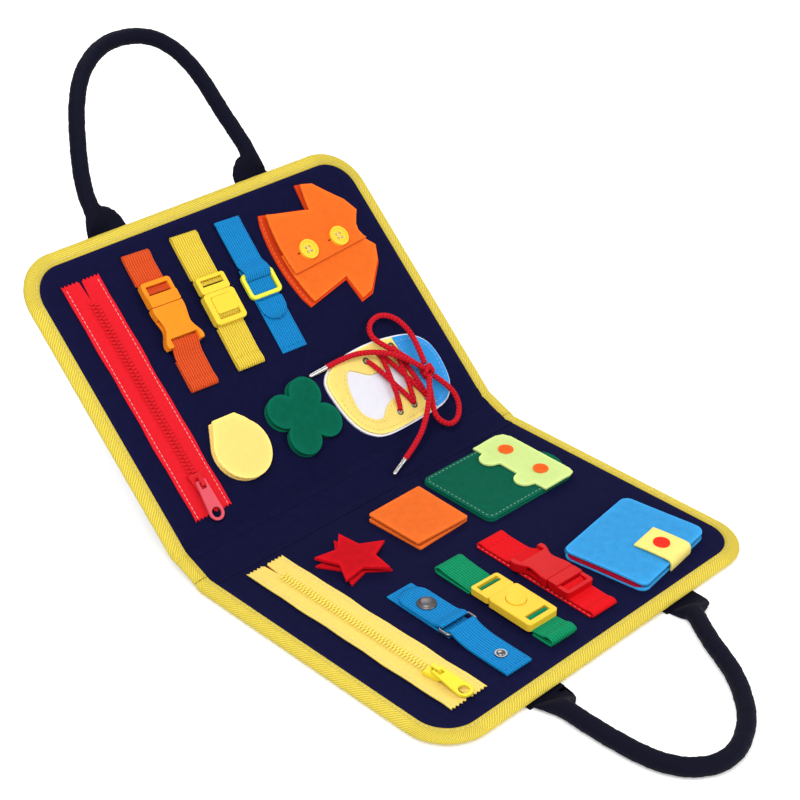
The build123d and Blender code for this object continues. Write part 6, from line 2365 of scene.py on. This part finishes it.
        def crown(x: float, y: float) -> float:
            """The cover swells over the leaves and drops to its fold."""
            fold = max(0.0, (y - 22.0) / 9.0)
            front = max(0.0, (-y - 20.0) / 11.0)
            swell = 1.0 * math.cos(x / 30.0) * math.cos(y / 27.0)
            return swell + 0.2 * math.sin(x / 9.0 + y / 14.0) * (1.0 - fold) - 0.2 * fold * fold - 1.1 * front * front

        cover = felt_cut("wallet_cover_felt", body, FELT, 4.9, lift=crown, edge=0.55)
        settle(cover, at, "wallet_cover", blue, "wallet_blue_felt", ["wallet_cover"])
        fold = ribbon("wallet_fold", [(30.2, 0.8), (31.2, 2.2), (31.4, 3.8), (30.9, 5.2), (29.6, 5.9)], 70.0, 1.1)
        settle(fold, at, LOWER.body, blue, "wallet_blue_felt")
        path = [(-32.2, 0.3), (-32.4, 3.0), (-32.1, 5.6), (-30.9, 7.4), (-28.0, 8.1), (-14.0, 8.5), (-4.0, 8.2)]
        tab = ribbon("wallet_tab_felt", path, 25.0, 1.4)
        tab.data.transform(Matrix.Translation((4.0, 0.0, 0.0)))
        layer = tab.data.attributes.new("rim", "FLOAT", "POINT")
        layer.data.foreach_set("value", np.zeros(len(tab.data.vertices), dtype=np.float32))
        pale = f.felt("wallet_yellow_felt", (0.94, 0.80, 0.22), 0.45, 0.88)
        settle(tab, at, "wallet_tab", pale, "wallet_yellow_felt", ["wallet_tab"])
        dot = felt_cut("wallet_dot", circle(5.6, (4.0, -17.5), 36), 0.9, 9.0, grain=2.0, edge=0.35)
        settle(dot, at, "wallet_tab", f.felt("red_dot_felt", (0.84, 0.030, 0.015), 0.4), "wallet_yellow_felt")

    def build(self) -> None:
        """Makes everything on the lower face."""
        f = self.finishes
        tape = f.woven("yellow_zip_tape", (0.88, 0.66, 0.15), Weave.PLAIN, 0.8, 0.12, 0.86)
        teeth = f.moulded("yellow_zip_teeth", (0.92, 0.76, 0.13), 0.4)
        lining = f.felt("zip_red_lining", (0.30, 0.006, 0.006), 0.3)
        zipped = Zip("yellow", LOWER, self.zip_place, 180.0, (21.0, 163.0), 0.75, tape, teeth, lining)
        zipped.build(f.thread("cream", (0.86, 0.78, 0.45)))
        dress(f.moulded("yellow_lacquer", (0.90, 0.72, 0.035)), "yellow_zip_slider", "yellow_zip_puller")
        self.straps()
        self.star_and_square()
        self.satchel()
        self.wallet()


@dataclass
class Closure:
    """The closing button and its elastic loop."""

    finishes: Finishes
    diameter: float = 2.4

    def build(self) -> None:
        """Makes the loop and dresses the button."""
        edge = DEPTH - BINDING
        root = -THICK - self.diameter / 2
        route = ((-5, 0, 0), (-5, 9, 4), (-7, 22, 8), (-9, 36, 10), (-6, 48, 11))
        route += ((6, 48, 11), (9, 36, 10), (7, 22, 8), (5, 9, 4), (5, 0, 0))
        line = route_line("loop_route", [Vector((x, edge - y, root - drop)) for x, y, drop in route])
        spots = [s for s, _ in evenly([tuple(p) for p in line], 1.2)]
        tube = tube_along("closing_loop", spots, lambda share: (self.diameter / 2, self.diameter / 2), 16)
        elastic = self.finishes.elastic
        piece = settle(tube, UPPER.place(), UPPER.body, elastic, "elastic_navy", ["closure_loop"], 80)
        path = [UPPER.place() @ p for p in spots]
        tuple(path[0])
        line_length(path)
        dress(self.finishes.button_yellow(), "closure_button")


@dataclass(frozen=True)
class ClothCut:
    """What a sheet of cloth or felt was cut to, in millimetres, before it was sewn on."""

    piece: str
    width: float
    length: float
    held: str
    under: str
    share: float = 1.0

    def declare(self) -> None:
        """Does nothing: the flat sheet's size and what it rests on are only listed."""


CUTS = (
    ClothCut("lower_outer_cloth", 281.2, 207.8, "stretched", "lower_board"),
    ClothCut("upper_outer_cloth", 281.2, 207.8, "stretched", "upper_board"),
    ClothCut("lower_felt_lining", 280.6, 207.5, "laid", "lower_board"),
    ClothCut("upper_felt_lining", 280.6, 207.5, "laid", "upper_board"),
    ClothCut("spine_felt", 280.6, 24.4, "laid", "spine_outer_cloth"),
    ClothCut("spine_outer_cloth", 280.6, 24.4, "stretched", "spine_felt"),
    ClothCut("lower_crease_felt", 280.2, 14.2, "folded", "lower_crease_cloth"),
    ClothCut("upper_crease_felt", 280.2, 14.2, "folded", "upper_crease_cloth"),
    ClothCut("lower_crease_cloth", 280.2, 21.2, "folded", "lower_board"),
    ClothCut("upper_crease_cloth", 280.2, 21.2, "folded", "upper_board"),
    ClothCut("shirt_buttoned_front", 82.7, 57.9, "laid", "shirt_base", 0.72),
    ClothCut("satchel_flap_felt", 69.5, 41.0, "laid", "satchel_pocket_felt", 0.86),
    ClothCut("wallet_cover_felt", 78.5, 62.5, "laid", "wallet_leaves"),
    ClothCut("wallet_tab_felt", 25.2, 36.4, "folded", "wallet_cover_felt"),
)


def main() -> None:
    """Builds the studio, the cords and then every part of the board."""
    logging.basicConfig(level=logging.INFO, format="%(name)s %(message)s")
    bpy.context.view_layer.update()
    Studio().build()
    finishes = Finishes()
    Lace(finishes).build()
    Closure(finishes).build()
    Panel(LOWER, -1, finishes).build()
    Panel(UPPER, 1, finishes).build()
    Spine(finishes).build()
    run = ((55, 236), (42, 257), (28, 283), (14, 301), (-3, 316), (-25, 326), (-44, 325.5), (-59, 315))
    Handle(LOWER, -1, run + ((-67.5, 297), (-70.5, 270), (-70.5, 238)), finishes).build()
    run = ((69, 238), (67.5, 270), (66, 303), (59, 326), (45, 340.5), (24, 346), (2, 343), (-20, 330))
    Handle(UPPER, 1, run + ((-38, 309), (-54, 281), (-65, 257), (-70, 239)), finishes).build()
    UpperActivities(finishes).build()
    LowerActivities(finishes).build()
    for cut in CUTS:
        cut.declare()
    deselect()


if __name__ == "__main__":
    main()
